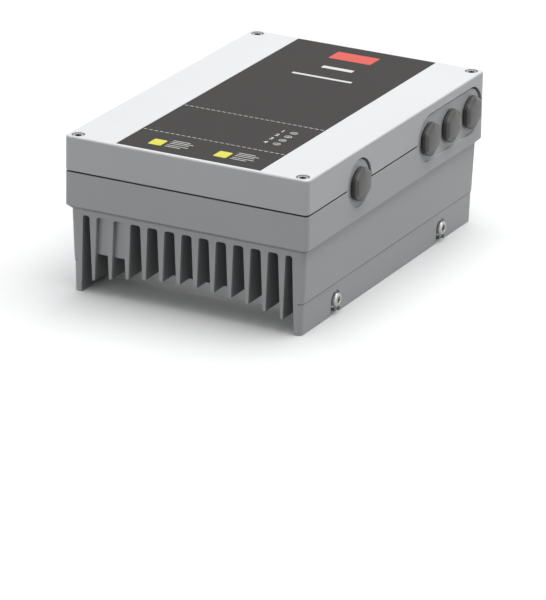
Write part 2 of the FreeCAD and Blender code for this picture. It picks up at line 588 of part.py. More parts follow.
power_board = body("power_board")
rounded_block(power_board, "board", ("-86", "54"), ("-125", "125"),
              ("power_board_low", "power_board_low + board_thick"), "3")
for i, spot in enumerate(BOARD_POSTS):
    rod(power_board, CUT, f"board_hole_{i}", "post_hole + 0.6",
        ("power_board_low - 1", "power_board_low + 3"), spot)
power_top = "power_board_low + board_thick"


def above(level, low, high):
    """A height span counted from a board's upper face."""
    return f"{level} + {low}", f"{level} + {high}"


def pan_screw(name, spot, seat, shank, length):
    """A small pan head screw, its head resting at seat."""
    return turned(name, [("0", "1.8"), ("3.2 * 0.6", "1.8"), ("3.2", "0.9"), ("3.2", "0"), (shank, "0"),
                         (shank, f"-({length})"), ("0", f"-({length})")], (*spot, seat))


group("power_board_screws",
      [pan_screw(f"board_screw_{i}", spot, power_top, "post_hole - 0.05", "9")
       for i, spot in enumerate(BOARD_POSTS)])
can = [("0", "0"), ("capacitor_radius - 0.5", "0"), ("capacitor_radius", "1"), ("capacitor_radius", "3"),
       ("capacitor_radius - 0.6", "3.8"), ("capacitor_radius", "4.6"), ("capacitor_radius", "capacitor_high - 1"),
       ("capacitor_radius - 0.8", "capacitor_high"), ("0", "capacitor_high")]
group("dc_link_capacitors",
      [turned(f"capacitor_{i}", can, ("capacitor_x", f"capacitor_first + {i} * capacitor_pitch", power_top))
       for i in range(4)])
films = []
for i in range(3):
    film_low = f"film_first + {i} * film_pitch"
    films.append(box(doc, LOOSE, f"film_capacitor_{i}", ("-80", "-52"), (film_low, f"{film_low} + film_thick"),
                     above(power_top, "0", "film_high")))
group("film_capacitors", films)

turned("choke_core",
       [("core_bore", "0"), ("core_radius", "0"), ("core_radius", "core_high"), ("core_bore", "core_high")],
       ("choke_x", "choke_y", f"{power_top} + 5"))
winding = body("choke_winding")
ROUND = ("0", "0")
winding_top = "core_high + 2 * winding_thick"
eye = "core_bore - winding_thick"
rod(winding, ADD, "winding_outer", "core_radius + winding_thick", ("0", winding_top), ROUND)
rod(winding, CUT, "winding_inner", eye, ("-1", f"{winding_top} + 1"), ROUND)
rod(winding, CUT, "core_room", "core_radius", ("winding_thick", "core_high + winding_thick"), ROUND)
rod(winding, ADD, "winding_middle", "core_bore", ("winding_thick / 2", "core_high + 1.5 * winding_thick"), ROUND)
rod(winding, CUT, "winding_eye", eye, ("-1", f"{winding_top} + 1"), ROUND)
for i, x in enumerate(("-9", "9")):
    rod(winding, ADD, f"lead_{i}", "1", ("-3", "1"), (x, "0"))
put(winding, "choke_x", "choke_y", f"{power_top} + 5 - winding_thick")

relay = body("inrush_relay")
box(relay, ADD, "relay_case", ("0", "29"), ("66", "79"), above(power_top, "0", "relay_high"))

MAINS_WAYS = tuple(f"terminal_first + {i} * terminal_pitch" for i in range(6))
block = body("mains_terminal_block")
box(block, ADD, "terminal_body", ("terminal_x - 12", "terminal_x + 7"),
    ("terminal_first - terminal_pitch / 2", f"{MAINS_WAYS[-1]} + terminal_pitch / 2"),
    above(power_top, "0", "terminal_high"))
for i, y in enumerate(MAINS_WAYS):
    box(block, CUT, f"wire_mouth_{i}",
        ("terminal_x - 3", "terminal_x + 8"), around(y, "3.5"), above(power_top, 2, 9))
    rod(block, CUT, f"screw_hole_{i}", "2", above(power_top, 8, 11), ("terminal_x", y))
    rod(block, CUT, f"screw_well_{i}", "terminal_well",
        above(power_top, 10, "terminal_high + 1"), ("terminal_x", y))
clamp = [("0", "3"), ("terminal_screw", "3"), ("terminal_screw", "0"), ("1.9", "0"), ("1.9", "-6"), ("0", "-6")]
group("terminal_screws", [turned(f"terminal_screw_{i}", clamp, ("terminal_x", y, f"{power_top} + 10"))
                          for i, y in enumerate(MAINS_WAYS)])

# ---------------------------------------------------------------- control stage
CARRIER_X, CARRIER_Y = ("-42", "50"), ("-110", "40")
CARRIER_LEGS = tuple((x, y) for x in ("-36", "30") for y in ("-104", "34"))
carrier = body("insulating_carrier")
rounded_block(carrier, "tray_plate", CARRIER_X, CARRIER_Y, ("control_board_low - 4", "control_board_low - 2"), "3")
box(carrier, CUT, "link_slot", ("-34", "-26"), ("-74", "-18"), ("0", "box_height"))
for i, spot in enumerate(CARRIER_LEGS):
    rod(carrier, ADD, f"leg_{i}", "carrier_leg", (power_top, "control_board_low"), spot)
    rod(carrier, CUT, f"leg_hole_{i}", "carrier_leg_hole",
        ("control_board_low - 7", "control_board_low + 1"), spot)

control_board = body("control_board")
control_top = "control_board_low + board_thick"
rounded_block(control_board, "small_board", (CARRIER_X[0] + " + 2", CARRIER_X[1]),
              (CARRIER_Y[0] + " + 1", CARRIER_Y[1] + " - 1"), ("control_board_low", control_top), "2")
for i, spot in enumerate(CARRIER_LEGS):
    rod(control_board, CUT, f"hole_{i}", "carrier_leg_hole + 0.4",
        ("control_board_low - 1", "control_board_low + 3"), spot)
group("control_board_screws",
      [pan_screw(f"control_screw_{i}", spot, control_top, "carrier_leg_hole - 0.05", "7")
       for i, spot in enumerate(CARRIER_LEGS)])

link = body("board_link_header")
box(link, ADD, "link_block", ("-32.5", "-27.5"), ("-72", "-20"), (power_top, "control_board_low"))

CONTROL_WAYS = tuple(f"plug_first_way + {i} * plug_pitch" for i in range(16))
header = body("control_terminal_header")
header_ends = ("plug_first_way - 4.5", f"{CONTROL_WAYS[-1]} + 4.5")
box(header, ADD, "header_block", ("43", "50"), header_ends, above(control_top, 0, 2))
box(header, ADD, "header_wall", ("44", "46"), header_ends, above(control_top, 0, 8))
for i, y in enumerate(CONTROL_WAYS):
    box(header, ADD, f"header_pin_{i}", ("45", "50"), around(y, "0.5"), above(control_top, 4.5, 5.5))
plug_strip = body("control_terminal_plug")
box(plug_strip, ADD, "plug_strip", ("46.2", "plug_screw_x + 5"),
    ("plug_first_way - 3.5", f"{CONTROL_WAYS[-1]} + 3.5"), above(control_top, 2.3, 11))
for i, y in enumerate(CONTROL_WAYS):
    box(plug_strip, CUT, f"pin_room_{i}", ("46", "51"), around(y, "0.8"), above(control_top, 4, 6))
    box(plug_strip, CUT, f"wire_room_{i}", ("53", "63"), around(y, "1.6"), above(control_top, 3.3, 6.5))
    rod(plug_strip, CUT, f"clamp_well_{i}", "plug_screw + 0.2", above(control_top, 7, 12), ("plug_screw_x", y))
group("control_plug_screws",
      [rod(doc, LOOSE, f"clamp_screw_{i}", "plug_screw", above(control_top, 7, 9), ("plug_screw_x", y))
       for i, y in enumerate(CONTROL_WAYS)])

socket = body("service_socket")
box(socket, ADD, "socket_case", ("30", "48"), ("6", "22"), above(control_top, 0, 13))
box(socket, CUT, "socket_mouth", ("34", "49"), ("8.2", "19.8"), above(control_top, 2, 9))
box(socket, CUT, "latch_mouth", ("34", "49"), ("11", "17"), above(control_top, 8, 11))

switch = body("termination_switch")
box(switch, ADD, "switch_case", ("-4", "6"), ("-70", "-60"), above(control_top, 0, 4))
box(switch, CUT, "switch_slot", ("-1", "3"), ("-68", "-62"), above(control_top, 2, 5))
slider = body("termination_switch_slider")
box(slider, ADD, "slider_knob", ("-0.7", "2.7"), ("-67.7", "-64.3"), above(control_top, 2.1, 5.2))

memory_socket = body("memory_socket")
box(memory_socket, ADD, "memory_base", ("-16", "14"), ("-30", "-18"), above(control_top, 0, 4))
box(memory_socket, CUT, "memory_slot", ("-12", "10"), ("-26.5", "-21.5"), above(control_top, 1, 5))
memory_module = body("memory_module")
box(memory_module, ADD, "memory_case", ("-14", "12"), ("-29", "-19"), above(control_top, 4.1, 9.5))
box(memory_module, ADD, "memory_tab", ("-11.5", "9.5"), ("-26", "-22"), above(control_top, 1.3, 4.5))

lamp = [("0", "0"), ("1.4", "0"), ("1.4", "3"), ("0.9", "3.8"), ("0", "3.8")]
group("status_leds", [turned(f"led_{i}", lamp, (x, y, control_top)) for i, (x, y) in enumerate(LIGHTS)])
earth = [("0", "4"), ("3.6", "4"), ("4.2", "3.2"), ("4.2", "1.2"), ("5", "1.2"), ("5", "0"), ("2.05", "0"),
         ("2.05", "-4.5"), ("0", "-4.5")]
group("earth_screws",
      [turned(f"earth_screw_{i}", earth, ("76", y, "band_low + 5")) for i, y in enumerate(("-16", "16"))])

# ---------------------------------------------------------------- checks and files
doc.recompute()
for item in doc.Objects:
    if any(word in item.State for word in ("Invalid", "Error")):
        raise SystemExit(f"{item.Name} ({item.Label}) failed: {item.State}")
for label, item in nodes.items():
    if item.Shape.isNull() or not item.Shape.isValid() or not item.Shape.Solids:
        raise SystemExit(f"{label} has no valid solid")
os.makedirs("parts", exist_ok=True)
for label, item in nodes.items():
    item.Shape.exportStep(f"parts/{label}.step")
print(len(nodes), "sub-parts")
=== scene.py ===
import json
from math import cos, pi, radians, sin

import bmesh
import bpy
import numpy as np
from mathutils import Matrix, Vector
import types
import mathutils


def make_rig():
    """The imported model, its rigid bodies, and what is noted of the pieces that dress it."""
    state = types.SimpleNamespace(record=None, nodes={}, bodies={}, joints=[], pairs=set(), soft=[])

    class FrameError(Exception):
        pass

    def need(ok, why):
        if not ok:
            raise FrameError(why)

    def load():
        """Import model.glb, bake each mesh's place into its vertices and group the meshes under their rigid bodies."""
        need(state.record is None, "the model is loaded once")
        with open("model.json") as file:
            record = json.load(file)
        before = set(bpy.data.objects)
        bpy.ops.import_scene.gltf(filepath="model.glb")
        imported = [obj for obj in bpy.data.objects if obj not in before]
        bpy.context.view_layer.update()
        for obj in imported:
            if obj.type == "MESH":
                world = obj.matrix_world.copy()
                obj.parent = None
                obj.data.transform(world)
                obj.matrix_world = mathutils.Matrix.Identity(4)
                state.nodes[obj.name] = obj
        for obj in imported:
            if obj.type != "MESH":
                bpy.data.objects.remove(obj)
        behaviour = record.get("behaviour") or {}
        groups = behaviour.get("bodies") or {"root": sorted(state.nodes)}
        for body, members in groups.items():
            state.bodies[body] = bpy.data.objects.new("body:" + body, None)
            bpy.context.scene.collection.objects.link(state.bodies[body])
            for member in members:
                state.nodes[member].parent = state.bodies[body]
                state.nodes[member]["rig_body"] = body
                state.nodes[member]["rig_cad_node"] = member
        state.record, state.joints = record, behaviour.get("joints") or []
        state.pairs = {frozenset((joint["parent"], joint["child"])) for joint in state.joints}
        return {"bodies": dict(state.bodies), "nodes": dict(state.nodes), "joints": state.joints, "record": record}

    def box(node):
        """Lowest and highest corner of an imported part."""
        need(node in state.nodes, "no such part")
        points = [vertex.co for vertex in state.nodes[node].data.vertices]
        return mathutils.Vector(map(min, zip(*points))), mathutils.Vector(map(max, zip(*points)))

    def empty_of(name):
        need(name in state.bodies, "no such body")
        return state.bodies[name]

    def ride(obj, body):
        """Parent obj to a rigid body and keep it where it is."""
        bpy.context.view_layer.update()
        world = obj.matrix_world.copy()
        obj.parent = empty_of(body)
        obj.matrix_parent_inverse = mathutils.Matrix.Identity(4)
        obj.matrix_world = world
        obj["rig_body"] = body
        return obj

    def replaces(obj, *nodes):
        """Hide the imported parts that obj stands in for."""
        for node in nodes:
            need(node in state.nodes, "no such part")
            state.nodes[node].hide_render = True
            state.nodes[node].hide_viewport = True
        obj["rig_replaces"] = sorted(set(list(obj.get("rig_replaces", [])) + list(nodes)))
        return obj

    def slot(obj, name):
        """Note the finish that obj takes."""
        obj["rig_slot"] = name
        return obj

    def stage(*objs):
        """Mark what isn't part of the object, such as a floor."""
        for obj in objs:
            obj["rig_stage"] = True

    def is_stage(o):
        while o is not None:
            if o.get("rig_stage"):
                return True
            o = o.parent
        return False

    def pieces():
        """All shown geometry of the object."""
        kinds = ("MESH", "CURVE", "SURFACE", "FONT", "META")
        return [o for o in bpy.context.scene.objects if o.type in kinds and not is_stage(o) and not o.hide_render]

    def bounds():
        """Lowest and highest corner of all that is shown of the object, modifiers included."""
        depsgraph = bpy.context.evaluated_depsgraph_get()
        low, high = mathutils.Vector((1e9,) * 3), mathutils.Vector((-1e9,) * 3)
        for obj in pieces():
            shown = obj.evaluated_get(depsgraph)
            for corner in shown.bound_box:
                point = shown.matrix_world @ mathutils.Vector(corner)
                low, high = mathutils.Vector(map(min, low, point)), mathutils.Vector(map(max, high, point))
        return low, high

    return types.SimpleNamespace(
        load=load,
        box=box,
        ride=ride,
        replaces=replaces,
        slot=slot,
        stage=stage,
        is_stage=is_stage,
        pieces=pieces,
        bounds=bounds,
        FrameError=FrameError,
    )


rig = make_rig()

# A motor-mounted variable frequency drive: a finned aluminium casting with a screwed-down lid,
# four blanked cable entries on its right side, and the electronics inside.
# X is the width, with the entries on +X; Y is the length, with the front end on -Y.
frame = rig.load()
cad_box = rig.bounds()

# ------------------------------------------------------------------------------ view
# The drive is seen from above its front right corner through a long lens, a little turned.
azimuth, elevation, turn = radians(27.47), radians(21.08), radians(0.93)
towards_camera = Vector((sin(azimuth) * cos(elevation), -cos(azimuth) * cos(elevation), sin(elevation)))
to_the_right = Vector((cos(azimuth), sin(azimuth), 0))
upwards = towards_camera.cross(to_the_right)
lens = bpy.data.cameras.new("camera")
lens.lens, lens.sensor_width, lens.clip_start, lens.clip_end = 279.2, 36, 0.1, 60
camera = bpy.data.objects.new("camera", lens)
camera.location = 3.33 * towards_camera - 0.0021 * to_the_right - 0.0328 * upwards
upright = towards_camera.to_track_quat("Z", "Y").to_matrix()
camera.rotation_euler = (upright @ Matrix.Rotation(turn, 3, "Z")).to_euler()
bpy.context.scene.collection.objects.link(camera)
bpy.context.scene.camera = camera
bpy.context.scene.view_settings.view_transform = "Standard"


# ------------------------------------------------------------------------------ floor and light
# A plain pale studio floor under one large soft lamp overhead, with weaker ones for the
# right side and the front, so that the top of the lid is the brightest face.
def node(tree, kind, inputs=(), **settings):
    """A shader node with its settings. inputs maps a socket to a number or colour, or to the output that
    feeds it."""
    item = tree.nodes.new("ShaderNode" + kind)
    for name, value in settings.items():
        setattr(item, name, value)
    for name, value in dict(inputs).items():
        if isinstance(value, bpy.types.NodeSocket):
            tree.links.new(value, item.inputs[name])
        else:
            item.inputs[name].default_value = value
    return item


def math_value(tree, operation, *values):
    """The output of one Math node that works on the values."""
    return node(tree, "Math", dict(enumerate(values)), operation=operation).outputs[0]


def seen_directly(tree):
    """1 for rays from the camera and for mirrored or refracted ones, 0 for the soft light that falls on
    things."""
    ray = node(tree, "LightPath").outputs
    mirrored = math_value(tree, "MAXIMUM", ray["Is Camera Ray"], ray["Is Glossy Ray"])
    return math_value(tree, "MAXIMUM", mirrored, ray["Is Transmission Ray"])


world = bpy.data.worlds.new("studio")
world.use_nodes = True
bpy.context.scene.world = world
sky = world.node_tree
soft_light = sky.nodes["Background"]
soft_light.inputs["Color"].default_value = (0.95, 0.97, 1.0, 1)
soft_light.inputs["Strength"].default_value = 0.22
white = node(sky, "Background", {"Color": (1, 1, 1, 1)})
both = node(sky, "MixShader", {0: seen_directly(sky), 1: soft_light.outputs[0], 2: white.outputs[0]})
sky.links.new(both.outputs[0], sky.nodes["World Output"].inputs["Surface"])

# The floor is left open just inside the adapter plate's outline, and is clear from beneath, so that
# the underside is lit and can be seen.
corners = np.array([(-1, -1, 0), (1, -1, 0), (1, 1, 0), (-1, 1, 0)])
floor_half, opening_half = 12.0, (0.081, 0.093, 0)
floor_mesh = bpy.data.meshes.new("floor")
floor_mesh.from_pydata(np.concatenate([corners * floor_half, corners * opening_half]).tolist(), [],
                       [(k, (k + 1) % 4, (k + 1) % 4 + 4, k + 4) for k in range(4)])
floor = bpy.data.objects.new("floor", floor_mesh)
bpy.context.scene.collection.objects.link(floor)
floor_paint = bpy.data.materials.new("floor_paint")
floor_paint.use_nodes = True
tree = floor_paint.node_tree
surface = tree.nodes["Principled BSDF"]
shade = node(tree, "Mix", {"Factor": seen_directly(tree), "A": (0.13, 0.13, 0.132, 1),
                           "B": (0.93, 0.93, 0.93, 1)}, data_type="RGBA")
tree.links.new(shade.outputs["Result"], surface.inputs["Base Color"])
surface.inputs["Roughness"].default_value = 0.9
surface.inputs["Specular IOR Level"].default_value = 0.1
from_beneath = node(tree, "NewGeometry").outputs["Backfacing"]
clear = node(tree, "BsdfTransparent").outputs[0]
one_sided = node(tree, "MixShader", {0: from_beneath, 1: surface.outputs[0], 2: clear})
tree.links.new(one_sided.outputs[0], tree.nodes["Material Output"].inputs["Surface"])
floor_mesh.materials.append(floor_paint)
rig.stage(floor)


def softbox(name, spot, width, height, watts):
    """A rectangular lamp at spot that faces the middle of the drive."""
    lamp = bpy.data.lights.new(name, "AREA")
    lamp.shape, lamp.size, lamp.size_y, lamp.energy = "RECTANGLE", width, height, watts
    holder = bpy.data.objects.new(name, lamp)
    holder.location = spot
    holder.rotation_euler = (Vector(spot) - Vector((0, 0, 0.08))).to_track_quat("Z", "Y").to_euler()
    bpy.context.scene.collection.objects.link(holder)


softbox("overhead", (0.15, 0.35, 2.1), 2.4, 2.4, 58)
softbox("side", (2.3, 0.2, 0.9), 1.6, 1.2, 7.5)
softbox("front", (-0.9, -2.4, 0.9), 1.8, 1.0, 14)


# ------------------------------------------------------------------------------ heatsink housing
# A pressure die casting in aluminium with a light grey powder coat: a fine orange peel, a
# faint cloudiness, rounded edges. Painted shade darkens its colour between the fins, in a thin
# line at the low sill along each side and on the rim under the lid.
def mottle_group():
    """Soft clouds in the colour, fine speckle in the roughness, and the height of the grain.
    Color x (1 + Clouds x (large noise - 1/2)); Roughness + Speckle x (fine noise - 1/2); fine noise."""
    group = bpy.data.node_groups.new("mottle", "ShaderNodeTree")
    for name, value in (("Clouds", 0.06), ("Cloud scale", 14.0), ("Roughness", 0.4), ("Speckle", 0.15),
                        ("Grain scale", 900.0)):
        socket = group.interface.new_socket(name, in_out="INPUT", socket_type="NodeSocketFloat")
        socket.default_value = value
    group.interface.new_socket("Color", in_out="INPUT", socket_type="NodeSocketColor")
    for name, kind in (("Color", "Color"), ("Roughness", "Float"), ("Height", "Float")):
        group.interface.new_socket(name, in_out="OUTPUT", socket_type="NodeSocket" + kind)
    given, result = group.nodes.new("NodeGroupInput"), group.nodes.new("NodeGroupOutput")
    place = node(group, "TexCoord").outputs["Object"]
    clouds = node(group, "TexNoise", {"Vector": place, "Scale": given.outputs["Cloud scale"], "Detail": 5})
    swing = math_value(group, "SUBTRACT", clouds.outputs["Fac"], 0.5)
    gain = math_value(group, "MULTIPLY_ADD", swing, given.outputs["Clouds"], 1)
    tone = node(group, "VectorMath", {0: given.outputs["Color"], "Scale": gain}, operation="SCALE").outputs[0]
    grain_scale = given.outputs["Grain scale"]
    grain = node(group, "TexNoise", {"Vector": place, "Scale": grain_scale, "Detail": 3}).outputs[0]
    fine = math_value(group, "SUBTRACT", grain, 0.5)
    gloss = math_value(group, "MULTIPLY_ADD", fine, given.outputs["Speckle"], given.outputs["Roughness"])
    for name, value in (("Color", tone), ("Roughness", gloss), ("Height", grain)):
        group.links.new(value, result.inputs[name])
    return group


mottle = mottle_group()


def finish(name, color, roughness, grain=900.0, relief=0.00004, clouds=0.06, speckle=0.15, **shader):
    """A material whose colour, gloss and relief vary through the mottle group. grain counts the relief's
    features per metre and relief is its height in metres; shader sets sockets that are the same all over."""
    material = bpy.data.materials.new(name)
    material.use_nodes = True
    tree = material.node_tree
    surface = tree.nodes["Principled BSDF"]
    for socket, value in shader.items():
        surface.inputs[socket.replace("_", " ").title().replace("Ior", "IOR")].default_value = value
    varied = tree.nodes.new("ShaderNodeGroup")
    varied.name, varied.node_tree = "varied", mottle
    for socket, value in (("Color", (*color, 1)), ("Clouds", clouds), ("Roughness", roughness),
                          ("Speckle", speckle), ("Grain scale", grain)):
        varied.inputs[socket].default_value = value
    bump = node(tree, "Bump", {"Height": varied.outputs["Height"], "Distance": relief, "Strength": 0.6})
    tree.links.new(varied.outputs["Color"], surface.inputs["Base Color"])
    tree.links.new(varied.outputs["Roughness"], surface.inputs["Roughness"])
    tree.links.new(bump.outputs["Normal"], surface.inputs["Normal"])
    return material


def settle(mesh, name, material, cad_node, slot, replaced=True, crease=28):
    """Put a finished mesh into the scene on the body of the CAD node that it stands for. It is shaded
    smoothly except across edges that turn by more than crease degrees."""
    mesh.materials.clear()
    mesh.materials.append(material)
    mesh.polygons.foreach_set("use_smooth", np.ones(len(mesh.polygons), bool))
    mesh.set_sharp_from_angle(angle=radians(crease))
    piece = bpy.data.objects.new(name, mesh)
    bpy.context.scene.collection.objects.link(piece)
    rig.ride(piece, frame["nodes"][cad_node]["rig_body"])
    if replaced:
        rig.replaces(piece, cad_node)
    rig.slot(piece, slot)
    return piece


def even_out(piece):
    """Let the larger faces set the shading, so that flats stay flat beside rounded edges."""
    flats = piece.modifiers.new("flat faces", "WEIGHTED_NORMAL")
    flats.mode, flats.weight, flats.keep_sharp = "FACE_AREA", 50, True


def softened(cad_node, name, material, slot, edge=0.0003, segments=2):
    """The CAD piece's own shape, its triangles joined at their corners and its sharp edges rounded by edge
    metres."""
    work = bmesh.new()
    work.from_mesh(frame["nodes"][cad_node].data)
    bmesh.ops.remove_doubles(work, verts=work.verts, dist=2e-6)
    mesh = bpy.data.meshes.new(name)
    work.to_mesh(mesh)
    work.free()
    piece = settle(mesh, name, material, cad_node, slot, crease=180)
    rounding = piece.modifiers.new("edges", "BEVEL")
    rounding.width, rounding.segments = edge, segments
    rounding.limit_method, rounding.angle_limit = "ANGLE", radians(28)
    rounding.use_clamp_overlap, rounding.loop_slide = False, False
    even_out(piece)
    return piece


housing_paint = finish("housing_paint", (0.54, 0.55, 0.555), 0.44, grain=1500, relief=0.00006,
                       specular_ior_level=0.35)
tree = housing_paint.node_tree
coordinates = node(tree, "TexCoord").outputs
spot = node(tree, "SeparateXYZ", {0: coordinates["Object"]}).outputs
facing = node(tree, "SeparateXYZ", {0: coordinates["Normal"]}).outputs


def fade(value, start, end):
    """0 at start, 1 at end and even between, in the tree that is being built."""
    return node(tree, "MapRange", {"Value": value, "From Min": start, "From Max": end}).outputs[0]


def all_of(*masks):
    """The masks multiplied together, in the tree that is being built."""
    total = masks[0]
    for mask in masks[1:]:
        total = math_value(tree, "MULTIPLY", total, mask)
    return total


length_way = math_value(tree, "ABSOLUTE", spot["Y"])
width_way = math_value(tree, "ABSOLUTE", spot["X"])
end_facing = math_value(tree, "ABSOLUTE", facing["Y"])
height = spot["Z"]
# Painted shade: each mask below darkens the paint's colour where shade falls, on the fin flanks between the fins, in a
# thin line at the step of the sill and on the rim under the lid's edge.
gap_end, gap_side, gap_top, gap_shade = 0.1318, 0.0838, 0.0572, 0.35
painted_shade_in_gaps = all_of(fade(length_way, gap_end + 0.0019, gap_end), fade(width_way, gap_side + 0.001, gap_side),
                     fade(height, gap_top + 0.0014, gap_top), fade(end_facing, 0.8, 0.5), gap_shade)
sill_low, sill_high, sill_end, sill_side = 0.0229, 0.0233, 0.1345, 0.087
painted_shade_on_sill = all_of(fade(height, sill_low - 0.0003, sill_low), fade(height, sill_high + 0.0003, sill_high),
                     fade(width_way, sill_side - 0.001, sill_side),
                     fade(length_way, sill_end + 0.002, sill_end))
rim_low, rim_high, rim_end, rim_side, rim_shade = 0.0885, 0.0889, 0.1377, 0.0942, 0.9
painted_shade_under_lid = all_of(fade(height, rim_low - 0.0002, rim_low), fade(height, rim_high + 0.0002, rim_high),
                       fade(width_way, rim_side + 0.0004, rim_side),
                       fade(length_way, rim_end + 0.0004, rim_end), fade(facing["Z"], 0.6, 0.8), rim_shade)
# The painted shade masks together mix the paint towards dark grey.
painted_shade = math_value(tree, "MAXIMUM", math_value(tree, "MAXIMUM", painted_shade_in_gaps, painted_shade_on_sill), painted_shade_under_lid)
shaded = node(tree, "Mix", {"Factor": painted_shade, "A": tree.nodes["varied"].outputs["Color"],
                            "B": (0.11, 0.11, 0.108, 1)}, data_type="RGBA")
tree.links.new(shaded.outputs["Result"], tree.nodes["Principled BSDF"].inputs["Base Color"])
softened("heatsink_housing", "finned_housing", housing_paint, "housing_paint", 0.0002)

# ------------------------------------------------------------------------------ lid
# The cover is cast and coated like the housing, a shade lighter, with a sunk panel for the
# label and a countersunk well for a screw at each corner.
lid_paint = finish("lid_paint", (0.66, 0.665, 0.67), 0.44, grain=1500, relief=0.00006,
                   specular_ior_level=0.35)
softened("lid", "cast_lid", lid_paint, "lid_paint", 0.0002)

# ------------------------------------------------------------------------------ front label
# A dark satin foil lies in the panel with four windows over the light pipes. Pale printed
# lines divide it, and the marks are plain bars, squares and numbers a few hundredths high.
foil = finish("label_foil", (0.038, 0.036, 0.035), 0.5, grain=2600, relief=0.00001, clouds=0.12,
              specular_ior_level=0.06)
softened("front_label", "label_foil", foil, "label_foil", 0.0001, 1)


def shells(name, points, material, cad_node, slot, capped=True, replaced=True):
    """Closed shells in one mesh, from points[shell, level, step] in millimetres. Each level is a ring that
    runs counter-clockwise about the way that the levels climb; neighbouring rings are joined all round, and
    the ends are closed by flat faces, or by joining the last ring to the first where capped is False."""
    points = np.asarray(points, float)
    count, levels, steps = points.shape[:3]
    index = np.arange(count * levels * steps).reshape(count, levels, steps)
    low = index[:, :-1] if capped else index
    high = index[:, 1:] if capped else np.roll(index, -1, 1)
    walls = np.stack([low, np.roll(low, -1, 2), np.roll(high, -1, 2), high], -1).reshape(-1, 4).tolist()
    ends = index[:, 0, ::-1].tolist() + index[:, -1].tolist() if capped else []
    mesh = bpy.data.meshes.new(name)
    mesh.from_pydata((points.reshape(-1, 3) * 0.001).tolist(), [], walls + ends)
    piece = settle(mesh, name, material, cad_node, slot, replaced)
    even_out(piece)
    return piece


def rounded_outline(half_x, half_y, corner, steps=4):
    """Points round a rectangle: for each corner, its centre plus corner x (cos, sin) over a quarter turn."""
    angle = np.concatenate([np.linspace(0, pi / 2, steps + 1) + k * pi / 2 for k in range(4)])
    side_x, side_y = np.repeat([1, -1, -1, 1], steps + 1), np.repeat([1, 1, -1, -1], steps + 1)
    return np.stack([side_x * (half_x - corner) + corner * np.cos(angle),
                     side_y * (half_y - corner) + corner * np.sin(angle)], -1)


def block(x, y, z, corner=0.5, edge=0.3):
    """Rings of a block between the (low, high) pairs x, y and z, with its upright corners rounded by corner
    and its top and bottom edges cut back by edge."""
    half_x, half_y = (x[1] - x[0]) / 2, (y[1] - y[0]) / 2
    middle = ((x[0] + x[1]) / 2, (y[0] + y[1]) / 2)
    rings = []
    for inset, height in ((edge, z[0]), (0.3 * edge, z[0] + 0.3 * edge), (0, z[0] + edge),
                          (0, z[1] - edge), (0.3 * edge, z[1] - 0.3 * edge), (edge, z[1])):
        outline = rounded_outline(half_x - inset, half_y - inset, max(corner - inset, 0.2 * corner))
        rings.append(np.column_stack([outline + middle, np.full(len(outline), height)]))
    return np.array(rings)


pale_ink = finish("pale_ink", (0.62, 0.62, 0.6), 0.55, grain=3000, relief=0.000005)
ink_low, ink_high = 114.88, 114.96
label_low, label_high = np.array(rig.box("front_label")) * 1000
dash_start = np.arange(label_low[0] + 0.9, label_high[0] - 3.4, 4.3)
dashes = [block((x, x + 3.1), (y - 0.3, y + 0.3), (ink_low, ink_high), 0.25, 0.02)
          for y in (-98.2, -39.2) for x in dash_start]
bar_lengths = ((-110.4, 13), (-113.4, 17), (-116.4, 15), (-120.2, 16.5), (-123.2, 12))
short_bars = [block((x, x + length), (y - 0.4, y + 0.4), (ink_low, ink_high), 0.2, 0.02)
              for x in (-24, 27) for y, length in bar_lengths]
title_rules = [block((-10.5, 14.5), (84.5, 89.5), (ink_low, ink_high), 0.8, 0.02),
               block((-23, 25), (62.4, 65.6), (ink_low, ink_high), 0.8, 0.02)]
shells("label_dashes", dashes + short_bars + title_rules, pale_ink, "front_label", "label_foil",
       replaced=False)

window_y = np.array([-80.8, -72.2, -63.6, -55.0])
angle = np.linspace(0, 2 * pi, 40, endpoint=False)
loop = np.stack([np.cos(angle), np.sin(angle)], -1)
window_x = 40.6
inner, outer = 1.75, 2.25
spread = np.sign(loop) * (0.5, 0)
rings = [[np.column_stack([loop * radius + spread + (window_x, y), np.full(len(loop), height)])
          for radius, height in ((inner, ink_low), (outer, ink_low), (outer, ink_high), (inner, ink_high))]
         for y in window_y]
shells("window_rings", rings, pale_ink, "front_label", "label_foil", capped=False, replaced=False)

for number, y in zip("4321", window_y):
    figure = bpy.data.curves.new("figure", "FONT")
    figure.body, figure.size, figure.align_x = number, 0.006, "RIGHT"
    figure.extrude, figure.offset = 0.00004, 0.00012
    writer = bpy.data.objects.new("figure", figure)
    bpy.context.scene.collection.objects.link(writer)
    printed = bpy.data.meshes.new_from_object(writer.evaluated_get(bpy.context.evaluated_depsgraph_get()))
    bpy.data.objects.remove(writer)
    printed.transform(Matrix.Translation((0.0335, y * 0.001 - 0.002, 0.11492)))
    settle(printed, f"window_number_{number}", pale_ink, "front_label", "label_foil", replaced=False)

yellow_ink = finish("yellow_ink", (0.62, 0.59, 0.04), 0.5, grain=3000, relief=0.000005)
squares = [block((x, x + 10), (-124.5, -113), (ink_low, ink_high), 1.2, 0.02) for x in (-37, 14)]
shells("label_squares", squares, yellow_ink, "front_label", "label_foil", replaced=False)
red_ink = finish("red_ink", (0.60, 0.06, 0.04), 0.5, grain=3000, relief=0.000005)
shells("label_stripe", [block((-16, 18), (107, 123.5), (ink_low, ink_high), 1, 0.02)], red_ink,
       "front_label", "label_foil", replaced=False)

# ------------------------------------------------------------------------------ light guide
# One moulding of smoky clear plastic carries light from the lamps on the board to the windows.
smoky = finish("light_pipe", (0.30, 0.31, 0.30), 0.22, grain=500, relief=0.00001, transmission_weight=0.35)
softened("light_guide", "light_pipes", smoky, "light_pipe", 0.0002)

